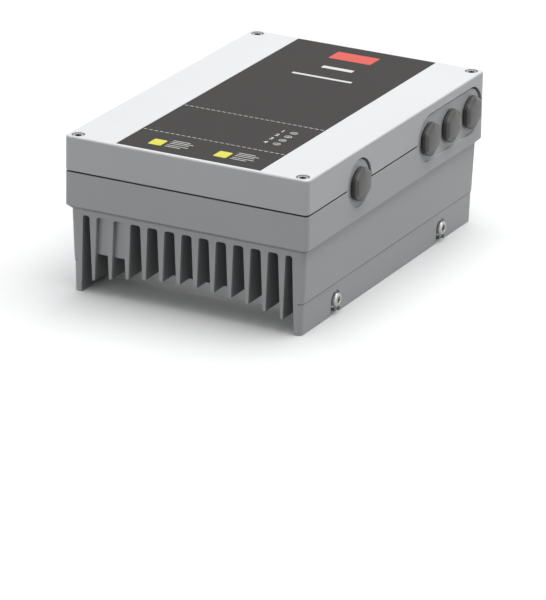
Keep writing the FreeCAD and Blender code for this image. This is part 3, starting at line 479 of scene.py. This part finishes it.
# ------------------------------------------------------------------------------ lid gasket
# A black foam cord is glued to the lid's rim and dips over the tongues of the cable entries.
rubber = finish("seal_rubber", (0.028, 0.028, 0.029), 0.7, grain=1200, relief=0.00008)
softened("lid_gasket", "rim_gasket", rubber, "seal_rubber", 0.0003)


# ------------------------------------------------------------------------------ lid screws
# Zinc-plated socket head screws, M5, each on a nylon washer that keeps the well watertight.
def outline_radius(size, shape, angle):
    """Radius of an outline at each angle. For shape 0 it is size all round; for a number of sides, size /
    cos(angle from the nearest side's middle); for a slot, the nearer edge of a bar that reaches size each way
    along X and size x tan 15 degrees each way across it; for a cross, the further of that and the same bar
    along Y."""
    if shape in ("slot", "cross"):
        along, across = np.abs(np.cos(angle)) + 1e-9, np.abs(np.sin(angle)) + 1e-9
        narrow = size * np.tan(radians(15))
        bar = np.minimum(size / along, narrow / across)
        return bar if shape == "slot" else np.maximum(bar, np.minimum(narrow / along, size / across))
    step = 2 * pi / max(shape, 1)
    return size / np.cos((angle + step / 2) % step - step / 2) if shape else np.full_like(angle, size)


def turned_rings(profile, steps=48):
    """Rings of a turned piece about Z: for each (size, height, shape) the outline's radius x (cos, sin)."""
    angle = np.linspace(0, 2 * pi, steps, endpoint=False)
    rings = []
    for size, height, shape in profile:
        radius = outline_radius(size, shape, angle)
        rings.append(np.stack([radius * np.cos(angle), radius * np.sin(angle), np.full(steps, height)], -1))
    return np.array(rings)


def threaded_rings(radius, depth, pitch, low, high, steps=48):
    """A screw thread between two heights: the radius falls by depth x |2 frac(height / pitch - turn) - 1|,
    so the ridge climbs one pitch in each turn. It fades out at both ends."""
    levels = np.arange(low, high, pitch / 6)
    angles = np.linspace(0, 2 * pi, steps, endpoint=False)
    height, angle = np.meshgrid(levels, angles, indexing="ij")
    ridge = np.abs(2 * ((height / pitch - angle / (2 * pi)) % 1) - 1)
    run_out = np.clip(np.minimum(height - low, high - height) / pitch, 0, 1)
    reach = radius - depth * (1 - ridge * run_out)
    return np.stack([reach * np.cos(angle), reach * np.sin(angle), height], -1)


def aimed(rings, centre, axis="z"):
    """Turn rings made about Z so that their axis points along x, -x or z, and set them at centre."""
    u, v, w = np.moveaxis(rings, -1, 0)
    turned = {"z": (u, v, w), "x": (w, u, v), "-x": (-w, -u, v)}[axis]
    return np.stack(turned, -1) + centre


def middle_of(cad_node):
    """The middle of a CAD node's box, in millimetres."""
    return np.mean(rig.box(cad_node), axis=0) * 1000


zinc = finish("screw_steel", (0.46, 0.46, 0.45), 0.34, grain=600, relief=0.00001, clouds=0.25, metallic=1.0)
# The lid screws have painted shade in their sockets and round the rims of their heads. The four corners are
# folded onto one, and the distance from the screw's axis there says where the zinc keeps its own colour.
shaded_lid_zinc = finish("lid_screw_steel", (0.42, 0.42, 0.41), 0.34, grain=600, relief=0.00001, clouds=0.25,
                    metallic=1.0)
screw_axis = (0.0875, 0.132, 0)
tree = shaded_lid_zinc.node_tree
folded = node(tree, "VectorMath", {0: node(tree, "TexCoord").outputs["Object"]}, operation="ABSOLUTE")
off_axis = node(tree, "VectorMath", {0: folded.outputs[0], 1: screw_axis}, operation="SUBTRACT")
flat = node(tree, "VectorMath", {0: off_axis.outputs[0], 1: (1, 1, 0)}, operation="MULTIPLY")
distance = node(tree, "VectorMath", {0: flat.outputs[0]}, operation="LENGTH").outputs["Value"]
# Painted shade: the colour goes near black inside the socket and on the outer rim of the head.
lit_zinc = all_of(fade(distance, 0.0021, 0.0025), fade(distance, 0.0042, 0.0039))
socket_and_rim_shade = node(tree, "Mix", {"Factor": lit_zinc, "A": (0.02, 0.02, 0.02, 1),
                             "B": tree.nodes["varied"].outputs["Color"]}, data_type="RGBA")
tree.links.new(socket_and_rim_shade.outputs["Result"], tree.nodes["Principled BSDF"].inputs["Base Color"])
nylon = finish("washer_nylon", (0.10, 0.10, 0.098), 0.5, grain=700, relief=0.00002)
corner_names = ("front_left", "front_right", "rear_left", "rear_right")
shank, pitch, plain_length, head_high, head_radius = 2.48, 0.8, 11, 4.6, 4.24
for place in corner_names:
    x, y, _ = middle_of(f"lid_screw_{place}")
    low, high = np.array(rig.box(f"lid_screw_{place}"))[:, 2] * 1000
    seat = high - head_high
    tip = turned_rings([(1.9, low, 0), (2.1, low + 0.3, 0)])
    thread = threaded_rings(shank, 0.3, pitch, low + 0.4, seat - plain_length)
    plain = turned_rings([(2.2, seat - plain_length + 0.2, 0), (shank, seat - plain_length + 0.6, 0),
                          (shank, seat, 0)])
    head = turned_rings([(4.15, seat, 0), (head_radius, seat + 0.15, 0), (head_radius, high - 0.7, 0),
                         (4.1, high - 0.3, 0), (3.75, high - 0.02, 0), (3.6, high, 0), (2.25, high, 6),
                         (2.02, high - 0.25, 6), (2.0, high - 2.5, 6), (0.6, high - 3, 0)])
    rings = np.concatenate([tip, thread, plain, head])
    shells(f"lid_screw_{place}_zinc", [aimed(rings, (x, y, 0))], shaded_lid_zinc, f"lid_screw_{place}",
           "screw_steel")
    ring = turned_rings([(2.6, -0.4, 0), (4.1, -0.4, 0), (head_radius, -0.25, 0), (head_radius, 0.25, 0),
                         (4.1, 0.4, 0), (2.6, 0.4, 0)])
    shells(f"lid_washer_{place}", [aimed(ring, middle_of(f"lid_screw_washer_{place}"))], nylon,
           f"lid_screw_washer_{place}", "washer_nylon", capped=False)


# ------------------------------------------------------------------------------ entry plugs
# Each unused cable entry is blanked by a moulded hexagonal M20 plug on a rubber ring. The
# plug's corners are well rounded, its rim is bevelled and its face slightly domed.
def rounded_polygon(flat, corner, sides=6, steps=7):
    """Points round a regular polygon: the corner centres at (flat - corner) / cos(half a side's angle),
    plus corner x (cos, sin) over each corner's share of the turn."""
    share = 2 * pi / sides
    towards = (np.repeat(np.arange(sides), steps + 1) + 0.5) * share
    angle = towards + np.tile(np.linspace(-share / 2, share / 2, steps + 1), sides)
    centre = (flat - corner) / cos(share / 2)
    return np.stack([centre * np.cos(towards) + corner * np.cos(angle),
                     centre * np.sin(towards) + corner * np.sin(angle)], -1)


plug_plastic = finish("plug_plastic", (0.09, 0.091, 0.085), 0.33, grain=1100, relief=0.00002, clouds=0.1,
                      speckle=0.08)
across_flats, head_corner, head_high, neck_radius = 23.4, 5, 4.7, 9.2
thread_radius, pitch, thread_length = 9.9, 1.5, 8.6
for place in ("front", "rear_1", "rear_2", "rear_3"):
    inner, face = np.array(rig.box(f"entry_plug_{place}"))[:, 0] * 1000
    _, y, z = middle_of(f"entry_plug_{place}")
    head = []
    for inset, depth in ((0.5, head_high), (0.1, head_high - 0.15), (0, head_high - 0.4), (0, 2.3),
                         (0.15, 2.0), (2.2, 0.62), (2.5, 0.47), (5, 0.2), (8, 0.05), (10.3, 0)):
        outline = rounded_polygon(across_flats / 2 - inset, max(head_corner - inset, 1.2))
        head.append(np.column_stack([outline, np.full(len(outline), face - depth)]))
    tip = turned_rings([(8.6, inner, 0), (neck_radius, inner + 0.4, 0)])
    thread = threaded_rings(thread_radius, 0.7, pitch, inner + 0.5, inner + thread_length)
    neck = turned_rings([(neck_radius, inner + thread_length + 0.1, 0), (neck_radius, face - head_high, 0)])
    rings = np.concatenate([tip, thread, neck, head])
    shells(f"blanking_plug_{place}", [aimed(rings, (0, y, z), "x")], plug_plastic, f"entry_plug_{place}",
           "plug_plastic")
    ring = turned_rings([(10.1, -0.6, 0), (11.2, -0.63, 0), (11.5, -0.4, 0), (11.58, 0, 0), (11.5, 0.4, 0),
                         (11.2, 0.63, 0), (10.1, 0.6, 0)])
    shells(f"entry_ring_{place}", [aimed(ring, middle_of(f"entry_seal_{place}"), "x")], rubber,
           f"entry_seal_{place}", "seal_rubber", capped=False)

# ------------------------------------------------------------------------------ adapter plate
# A bare aluminium casting is bolted to the motor. It seals round the lead opening with a
# rubber ring, and its flanges take the four side screws that hold the drive down.
cast_metal = finish("adapter_metal", (0.58, 0.585, 0.59), 0.45, grain=1300, relief=0.00008, clouds=0.16,
                    metallic=0.85)
softened("adapter_plate", "cast_adapter", cast_metal, "adapter_metal", 0.0004)
softened("adapter_gasket", "motor_face_ring", rubber, "seal_rubber", 0.0002)
softened("duct_seal", "duct_ring", rubber, "seal_rubber", 0.0003)

shank, pitch, plain_length, head_high, head_radius, washer_radius = 2.98, 1.0, 5, 3.6, 5.18, 6.17
for place in corner_names:
    way, axis = (-1, "-x") if place.endswith("left") else (1, "x")
    _, y, z = middle_of(f"fixing_screw_{place}")
    low, high = sorted(way * np.array(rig.box(f"fixing_screw_{place}"))[:, 0] * 1000)
    seat = high - head_high
    tip = turned_rings([(2.3, low, 0), (2.6, low + 0.3, 0)])
    thread = threaded_rings(shank, 0.35, pitch, low + 0.4, seat - plain_length)
    plain = turned_rings([(2.65, seat - plain_length + 0.1, 0), (2.95, seat - plain_length + 0.5, 0),
                          (2.95, seat, 0)])
    head = turned_rings([(5.0, seat, 0), (head_radius, seat + 0.2, 0), (head_radius, high - 1.3, 0),
                         (4.95, high - 0.75, 0), (4.4, high - 0.2, 0), (3.9, high, 0), (2.55, high, 6),
                         (2.28, high - 0.3, 6), (2.25, high - 2.2, 6), (0.6, high - 2.35, 0)])
    rings = np.concatenate([tip, thread, plain, head])
    shells(f"fixing_screw_{place}_zinc", [aimed(rings, (0, y, z), axis)], zinc, f"fixing_screw_{place}",
           "screw_steel")
    ring = turned_rings([(3.1, -0.6, 0), (6.0, -0.6, 0), (washer_radius, -0.45, 0), (washer_radius, 0.45, 0),
                         (6.0, 0.6, 0), (3.1, 0.6, 0)])
    shells(f"side_washer_{place}", [aimed(ring, middle_of(f"fixing_washer_{place}"), axis)], zinc,
           f"fixing_washer_{place}", "screw_steel", capped=False)

# ------------------------------------------------------------------------------ motor connector
# A male connector of black glass-filled nylon stands in the adapter, with six brass pins that
# are pressed into it; the female one hangs from the power board into the housing's duct.
black_nylon = finish("connector_black", (0.03, 0.03, 0.032), 0.52, grain=900, relief=0.00006, clouds=0.2)
softened("motor_plug", "motor_plug_body", black_nylon, "connector_black", 0.0003)
softened("motor_socket", "motor_socket_body", black_nylon, "connector_black", 0.0003)
brass = finish("contact_brass", (0.72, 0.54, 0.25), 0.3, grain=500, relief=0.00001, clouds=0.25, metallic=1.0)
low, high = np.array(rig.box("motor_plug_pins"))[:, 2] * 1000
pin = turned_rings([(2.1, low, 0), (2.5, low + 0.4, 0), (2.5, high - 1.9, 0), (2.35, high - 1.0, 0),
                    (1.8, high - 0.3, 0), (0.9, high, 0)], 24)
shells("motor_contacts", [aimed(pin, (x, y, 0)) for x in (-12, 0, 12) for y in (-16, 16)], brass,
       "motor_plug_pins", "contact_brass")


# ------------------------------------------------------------------------------ boards
# Two glass-fibre boards with copper tracks under green lacquer: power below, control above.
# Both are held by pan head screws, the upper one on the posts of a moulded carrier.
def track_group():
    """Copper tracks and rings. The board is cut into square cells; white noise gives each its tracks along X
    or along Y, or none. A track is the middle part of each lane, and a ring sits at the centre of some
    cells."""
    group = bpy.data.node_groups.new("tracks", "ShaderNodeTree")
    for name, value in (("Cell", 0.0075), ("Lane", 0.00125)):
        socket = group.interface.new_socket(name, in_out="INPUT", socket_type="NodeSocketFloat")
        socket.default_value = value
    for name in ("Track", "Ring"):
        group.interface.new_socket(name, in_out="OUTPUT", socket_type="NodeSocketFloat")
    given, result = group.nodes.new("NodeGroupInput"), group.nodes.new("NodeGroupOutput")
    place = node(group, "TexCoord").outputs["Object"]
    cell = node(group, "VectorMath", {0: place, 1: given.outputs["Cell"]}, operation="SNAP").outputs[0]
    chance = node(group, "TexWhiteNoise", {"Vector": cell}, noise_dimensions="2D").outputs["Value"]
    across = node(group, "SeparateXYZ", {0: place}).outputs
    along_y = math_value(group, "GREATER_THAN", chance, 0.5)
    lane_place = node(group, "Mix", {"Factor": along_y, "A": across["Y"], "B": across["X"]}).outputs["Result"]
    lane = given.outputs["Lane"]
    share = math_value(group, "DIVIDE", math_value(group, "PINGPONG", lane_place, lane), lane)
    line = node(group, "MapRange", {"Value": share, "From Min": 0.52, "From Max": 0.62}).outputs[0]
    folded = math_value(group, "PINGPONG", chance, 0.25)
    has_tracks = node(group, "MapRange", {"Value": folded, "From Min": 0.05, "From Max": 0.051}).outputs[0]
    track = math_value(group, "MULTIPLY", line, has_tracks)
    offset = node(group, "VectorMath", {0: place, 1: cell}, operation="SUBTRACT").outputs[0]
    half = math_value(group, "MULTIPLY", given.outputs["Cell"], 0.5)
    spread = node(group, "SeparateXYZ", {0: offset}).outputs
    squares = [math_value(group, "POWER", math_value(group, "SUBTRACT", spread[way], half), 2)
               for way in "XY"]
    distance = math_value(group, "POWER", math_value(group, "ADD", *squares), 0.5)
    disc = node(group, "MapRange", {"Value": distance, "From Min": 0.0009, "From Max": 0.00085}).outputs[0]
    ring = math_value(group, "MULTIPLY", disc, math_value(group, "GREATER_THAN", chance, 0.72))
    group.links.new(track, result.inputs["Track"])
    group.links.new(ring, result.inputs["Ring"])
    return group


board_lacquer = finish("board_green", (0.012, 0.10, 0.035), 0.32, grain=700, relief=0.00001, clouds=0.15)
tree = board_lacquer.node_tree
tracks = tree.nodes.new("ShaderNodeGroup")
tracks.node_tree = track_group()
lacquered = node(tree, "Mix", {"Factor": tracks.outputs["Track"], "A": tree.nodes["varied"].outputs["Color"],
                               "B": (0.035, 0.22, 0.075, 1)}, data_type="RGBA")
tinned = node(tree, "Mix", {"Factor": tracks.outputs["Ring"], "A": lacquered.outputs["Result"],
                            "B": (0.55, 0.54, 0.5, 1)}, data_type="RGBA")
tree.links.new(tinned.outputs["Result"], tree.nodes["Principled BSDF"].inputs["Base Color"])
raised = math_value(tree, "MAXIMUM", tracks.outputs["Track"], tracks.outputs["Ring"])
copper_step = node(tree, "Bump", {"Height": raised, "Distance": 0.00006, "Strength": 0.8})
tree.links.new(copper_step.outputs["Normal"], tree.nodes["Principled BSDF"].inputs["Normal"])
softened("power_board", "power_circuit_board", board_lacquer, "board_green", 0.0001, 1)
softened("control_board", "control_circuit_board", board_lacquer, "board_green", 0.0001, 1)


def pan_screw(low, seat, head_radius, head_high, shank):
    """A screw about Z with a domed pan head above seat, a cross recess, and a plain shank down to low."""
    top = seat + head_high
    profile = [(0.8 * shank, low, 0), (shank, low + 0.3, 0), (shank, seat, 0), (head_radius, seat, 0),
               (head_radius, seat + 0.3 * head_high, 0), (0.93 * head_radius, seat + 0.72 * head_high, 0),
               (0.72 * head_radius, top - 0.04, 0), (0.62 * head_radius, top, "cross"),
               (0.56 * head_radius, top - 0.55 * head_high, "cross"),
               (0.1 * head_radius, top - 0.7 * head_high, 0)]
    return turned_rings(profile)


power_top, control_top = 79.6, 95.6
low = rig.box("power_board_screws")[0][2] * 1000
pan = pan_screw(low, power_top, 3.2, 1.8, 1.45)
shells("power_board_fixings", [aimed(pan, (x, y, 0)) for x in (-80, 46) for y in (-118, 0, 118)], zinc,
       "power_board_screws", "screw_steel")
low, high = np.array(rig.box("control_board_screws"))[:, 2] * 1000
pan = pan_screw(low, control_top, 3.0, high - control_top, 1.2)
shells("control_board_fixings", [aimed(pan, (x, y, 0)) for x in (-36, 30) for y in (-104, 34)], zinc,
       "control_board_screws", "screw_steel")

chip_body = finish("chip_epoxy", (0.022, 0.022, 0.024), 0.5, grain=1500, relief=0.00003)
tinned_leads = finish("tinned_leads", (0.6, 0.6, 0.58), 0.32, grain=800, relief=0.00001, metallic=1.0)
chips = [(-10, 8, 14, 14), (14, 14, 5, 10), (-30, -4, 5, 8), (-22, -86, 5, 10), (12, -84, 5, 8),
         (20, -45, 5, 8), (-12, -55, 7, 12), (-30, 22, 5, 8)]
chip_z = (control_top + 0.15, control_top + 1.7)
bodies = [block((x - width / 2, x + width / 2), (y - length / 2, y + length / 2), chip_z, 0.3, 0.2)
          for x, y, width, length in chips]
shells("control_chips", bodies, chip_body, "control_board", "module_case", replaced=False)
lead = rounded_outline(0.75, 0.22, 0.05, 1)
leads = [[np.column_stack([lead + (x + side * (width / 2 + 0.6), y + step), np.full(len(lead), height)])
          for height in (control_top + 0.02, control_top + 0.35)]
         for x, y, width, length in chips for side in (-1, 1)
         for step in np.arange(1 - length / 2, length / 2, 1.27)]
shells("control_chip_leads", leads, tinned_leads, "control_board", "screw_steel", replaced=False)
carrier_plastic = finish("carrier_plastic", (0.045, 0.045, 0.047), 0.55, grain=900, relief=0.00006,
                         clouds=0.15)
softened("insulating_carrier", "board_carrier", carrier_plastic, "carrier_plastic", 0.0003)

# ------------------------------------------------------------------------------ power parts
# The switching module is clamped to the casting through a heat-conducting foil. Along the
# left edge of the board stand the smoothing capacitors, film capacitors and a toroid choke.
foil_pad = finish("thermal_foil", (0.50, 0.50, 0.52), 0.42, grain=350, relief=0.00006, clouds=0.3)
softened("thermal_pad", "heat_foil", foil_pad, "thermal_foil", 0.00008, 1)
module_epoxy = finish("module_case", (0.030, 0.030, 0.033), 0.42, grain=1300, relief=0.00004, clouds=0.2)
softened("power_module", "switching_module", module_epoxy, "module_case", 0.0004)

sleeve = finish("capacitor_sleeve", (0.018, 0.022, 0.034), 0.3, grain=500, relief=0.00002, clouds=0.2)
can_top = finish("can_aluminium", (0.66, 0.66, 0.66), 0.36, grain=1200, relief=0.00002, metallic=1.0)
low, high = np.array(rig.box("dc_link_capacitors"))[:, 2] * 1000
can_places = [(-66, -14 + 33 * k, 0) for k in range(4)]
wrap = turned_rings([(13.6, low, 0), (14.6, low, 0), (15, low + 0.6, 0), (15, low + 2.7, 0),
                     (14.45, low + 3.3, 0), (14.3, low + 3.8, 0), (14.45, low + 4.3, 0), (15, low + 4.9, 0),
                     (15, high - 1.4, 0), (14.7, high - 0.6, 0), (14.0, high - 0.1, 0),
                     (12.6, high - 0.05, 0), (12.5, high - 0.3, 0), (13.4, high - 0.9, 0)])
shells("capacitor_sleeves", [aimed(wrap, place) for place in can_places], sleeve, "dc_link_capacitors",
       "capacitor_sleeve", capped=False)
disc = turned_rings([(13.3, high - 1.2, 0), (13.3, high - 0.32, 0), (12.2, high - 0.3, 0),
                     (11.6, high - 0.55, 0), (0.5, high - 0.5, 0)])
shells("capacitor_tops", [aimed(disc, place) for place in can_places], can_top, "dc_link_capacitors",
       "capacitor_sleeve", replaced=False)
vents = [block((x - half_x, x + half_x), (y - half_y, y + half_y), (high - 0.6, high - 0.42), 0.15, 0.05)
         for x, y, _ in can_places for half_x, half_y in ((8, 0.3), (0.3, 8))]
shells("capacitor_vents", vents, can_top, "dc_link_capacitors", "capacitor_sleeve", replaced=False)

film = finish("film_case", (0.34, 0.30, 0.20), 0.4, grain=700, relief=0.00003, clouds=0.12)
(x_low, _, z_low), (x_high, _, z_high) = np.array(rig.box("film_capacitors")) * 1000
film_blocks = [block((x_low, x_high), (y, y + 12), (z_low, z_high), 0.9, 0.6) for y in (-72, -58, -44)]
shells("film_capacitor_cases", film_blocks, film, "film_capacitors", "film_case")

ferrite = finish("ferrite", (0.10, 0.14, 0.11), 0.5, grain=900, relief=0.00004, clouds=0.2)
choke_place = (-66, -92, 0)
core_inner, core_outer, core_low, core_high, core_edge = 7, 13, 84.6, 93.6, 0.5
toroid = turned_rings([(core_inner + core_edge, core_low, 0), (core_outer - core_edge, core_low, 0),
                       (core_outer, core_low + core_edge, 0), (core_outer, core_high - core_edge, 0),
                       (core_outer - core_edge, core_high, 0), (core_inner + core_edge, core_high, 0),
                       (core_inner, core_high - core_edge, 0), (core_inner, core_low + core_edge, 0)])
shells("choke_toroid", [aimed(toroid, choke_place)], ferrite, "choke_core", "ferrite", capped=False)


def rooted(value):
    """The square root of the value's size, with the value's sign."""
    return np.sign(value) * np.sqrt(np.abs(value))


def wound_wire(turns, radius, steps=28, sides=8):
    """Rings of a wire wound on the toroid. In each turn the section angle a goes once round the core's
    section, at its middle radius + reach x rooted(cos a) and middle height + rise x rooted(sin a), while the
    way round the toroid advances evenly over 320 degrees in all. Each ring lies across the wire."""
    reach, rise = (core_outer - core_inner) / 2 + 1.1, (core_high - core_low) / 2 + 1.1
    travel = np.linspace(0, 1, turns * steps)
    section, around = 2 * pi * turns * travel, radians(320) * travel - radians(70)
    from_axis = (core_inner + core_outer) / 2 + reach * rooted(np.cos(section))
    height = (core_low + core_high) / 2 + rise * rooted(np.sin(section))
    path = np.stack([from_axis * np.cos(around), from_axis * np.sin(around), height], -1)
    forward = np.gradient(path, axis=0)
    forward /= np.linalg.norm(forward, axis=1, keepdims=True)
    side = np.stack([-np.sin(around), np.cos(around), 0 * around], -1)
    side -= forward * np.sum(side * forward, axis=1, keepdims=True)
    side /= np.linalg.norm(side, axis=1, keepdims=True)
    out = np.cross(forward, side)
    angle = np.linspace(0, 2 * pi, sides, endpoint=False)[:, None]
    return path[:, None] + radius * (np.cos(angle) * side[:, None] + np.sin(angle) * out[:, None])


enamel = finish("copper_wire", (0.55, 0.20, 0.07), 0.28, grain=500, relief=0.00001, clouds=0.2, metallic=0.9)
shells("choke_wire", [aimed(wound_wire(18, 0.8), choke_place)], enamel, "choke_winding", "copper_wire")
leg = turned_rings([(0.7, power_top, 0), (0.95, 79.8, 0), (0.95, 85, 0), (0.5, 85.4, 0)], 16)
shells("choke_legs", [aimed(leg, (x, -92, 0)) for x in (-75, -57)], enamel, "choke_winding", "copper_wire",
       replaced=False)

relay_case = finish("relay_case", (0.03, 0.05, 0.13), 0.38, grain=900, relief=0.00003, clouds=0.1)
(x_low, y_low, z_low), (x_high, y_high, z_high) = np.array(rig.box("inrush_relay")) * 1000
shells("charging_relay", [block((x_low, x_high), (y_low, y_high), (z_low, z_high), 0.8, 0.5)], relay_case,
       "inrush_relay", "relay_case")

# ------------------------------------------------------------------------------ terminals
# Mains and motor leads go under the cross screws of a six-way grey block; control leads go
# into a green plug that slides onto its header. Two earth screws stand in the casting.
terminal_nylon = finish("terminal_grey", (0.34, 0.35, 0.35), 0.5, grain=800, relief=0.00005, clouds=0.08)
softened("mains_terminal_block", "mains_terminals", terminal_nylon, "terminal_grey", 0.0003)
low, high = np.array(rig.box("terminal_screws"))[:, 2] * 1000
clamp = turned_rings([(2.6, low, 0), (2.9, low + 0.3, 0), (2.9, high - 0.6, 0), (2.6, high - 0.15, 0),
                      (2.3, high, 0), (2.1, high, "cross"), (1.9, high - 1.2, "cross"), (0.3, high - 1.5, 0)])
shells("mains_clamp_screws", [aimed(clamp, (46, 54 + 11 * k, 0)) for k in range(6)], zinc,
       "terminal_screws", "screw_steel")
low, high = np.array(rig.box("earth_screws"))[:, 2] * 1000
earth = turned_rings([(2.0, low, 0), (2.4, low + 0.4, 0), (2.4, high - 4.2, 0), (5.0, high - 4.2, 0),
                      (5.0, high - 3.3, 0), (4.6, high - 3.1, 0), (3.9, high - 3.1, 6),
                      (3.9, high - 0.4, 6), (3.5, high, 6), (2.6, high, "cross"),
                      (2.3, high - 1.6, "cross"), (0.4, high - 2, 0)])
shells("earth_clamp_screws", [aimed(earth, (76, y, 0)) for y in (-16, 16)], zinc, "earth_screws",
       "screw_steel")

green_nylon = finish("terminal_green", (0.02, 0.22, 0.075), 0.45, grain=800, relief=0.00005, clouds=0.08)
softened("control_terminal_header", "control_header", green_nylon, "terminal_green", 0.0002)
softened("control_terminal_plug", "control_plug", green_nylon, "terminal_green", 0.0003)
(_, y_low, low), (_, y_high, high) = np.array(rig.box("control_plug_screws")) * 1000
clamp_radius = 1.4
clamp = turned_rings([(1.2, low, 0), (clamp_radius, low + 0.2, 0), (clamp_radius, high - 0.2, 0),
                      (1.25, high, 0), (1.2, high, "slot"), (1.15, high - 0.7, "slot"),
                      (0.1, high - 0.8, 0)], 24)
clamp_y = np.linspace(y_low + clamp_radius, y_high - clamp_radius, 16)
shells("control_clamp_screws", [aimed(clamp, (57, y, 0)) for y in clamp_y], zinc,
       "control_plug_screws", "screw_steel")

# ------------------------------------------------------------------------------ board sockets
# On the control board: the header to the power board, a shielded service socket, a two-way
# switch for bus termination, a holder with its plug-in memory, and the four indicator lamps.
softened("board_link_header", "board_link", black_nylon, "connector_black", 0.0002)
shield = finish("socket_metal", (0.56, 0.56, 0.54), 0.3, grain=500, relief=0.00001, clouds=0.2, metallic=1.0)
softened("service_socket", "service_port", shield, "socket_metal", 0.0002)
softened("termination_switch", "bus_switch", black_nylon, "connector_black", 0.0002)
white_nylon = finish("switch_white", (0.62, 0.62, 0.6), 0.45, grain=700, relief=0.00003)
softened("termination_switch_slider", "bus_switch_slider", white_nylon, "switch_white", 0.0002)
softened("memory_socket", "memory_holder", black_nylon, "connector_black", 0.0002)
memory_nylon = finish("memory_case", (0.05, 0.07, 0.12), 0.45, grain=900, relief=0.00004, clouds=0.1)
softened("memory_module", "memory_stick", memory_nylon, "memory_case", 0.0003)
diffuser = finish("led_body", (0.62, 0.64, 0.6), 0.25, grain=400, relief=0.00001, transmission_weight=0.3)
low, high = np.array(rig.box("status_leds"))[:, 2] * 1000
lamp = turned_rings([(1.3, low, 0), (1.4, low + 0.1, 0), (1.4, high - 1.2, 0), (1.25, high - 0.7, 0),
                     (0.9, high - 0.25, 0), (0.4, high, 0)], 24)
shells("indicator_lamps", [aimed(lamp, (window_x, y, 0)) for y in window_y], diffuser, "status_leds",
       "led_body")

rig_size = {"cad": [list(corner) for corner in cad_box], "visual": [list(corner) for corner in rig.bounds()]}
json.dump(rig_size, open("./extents.json", "w"))
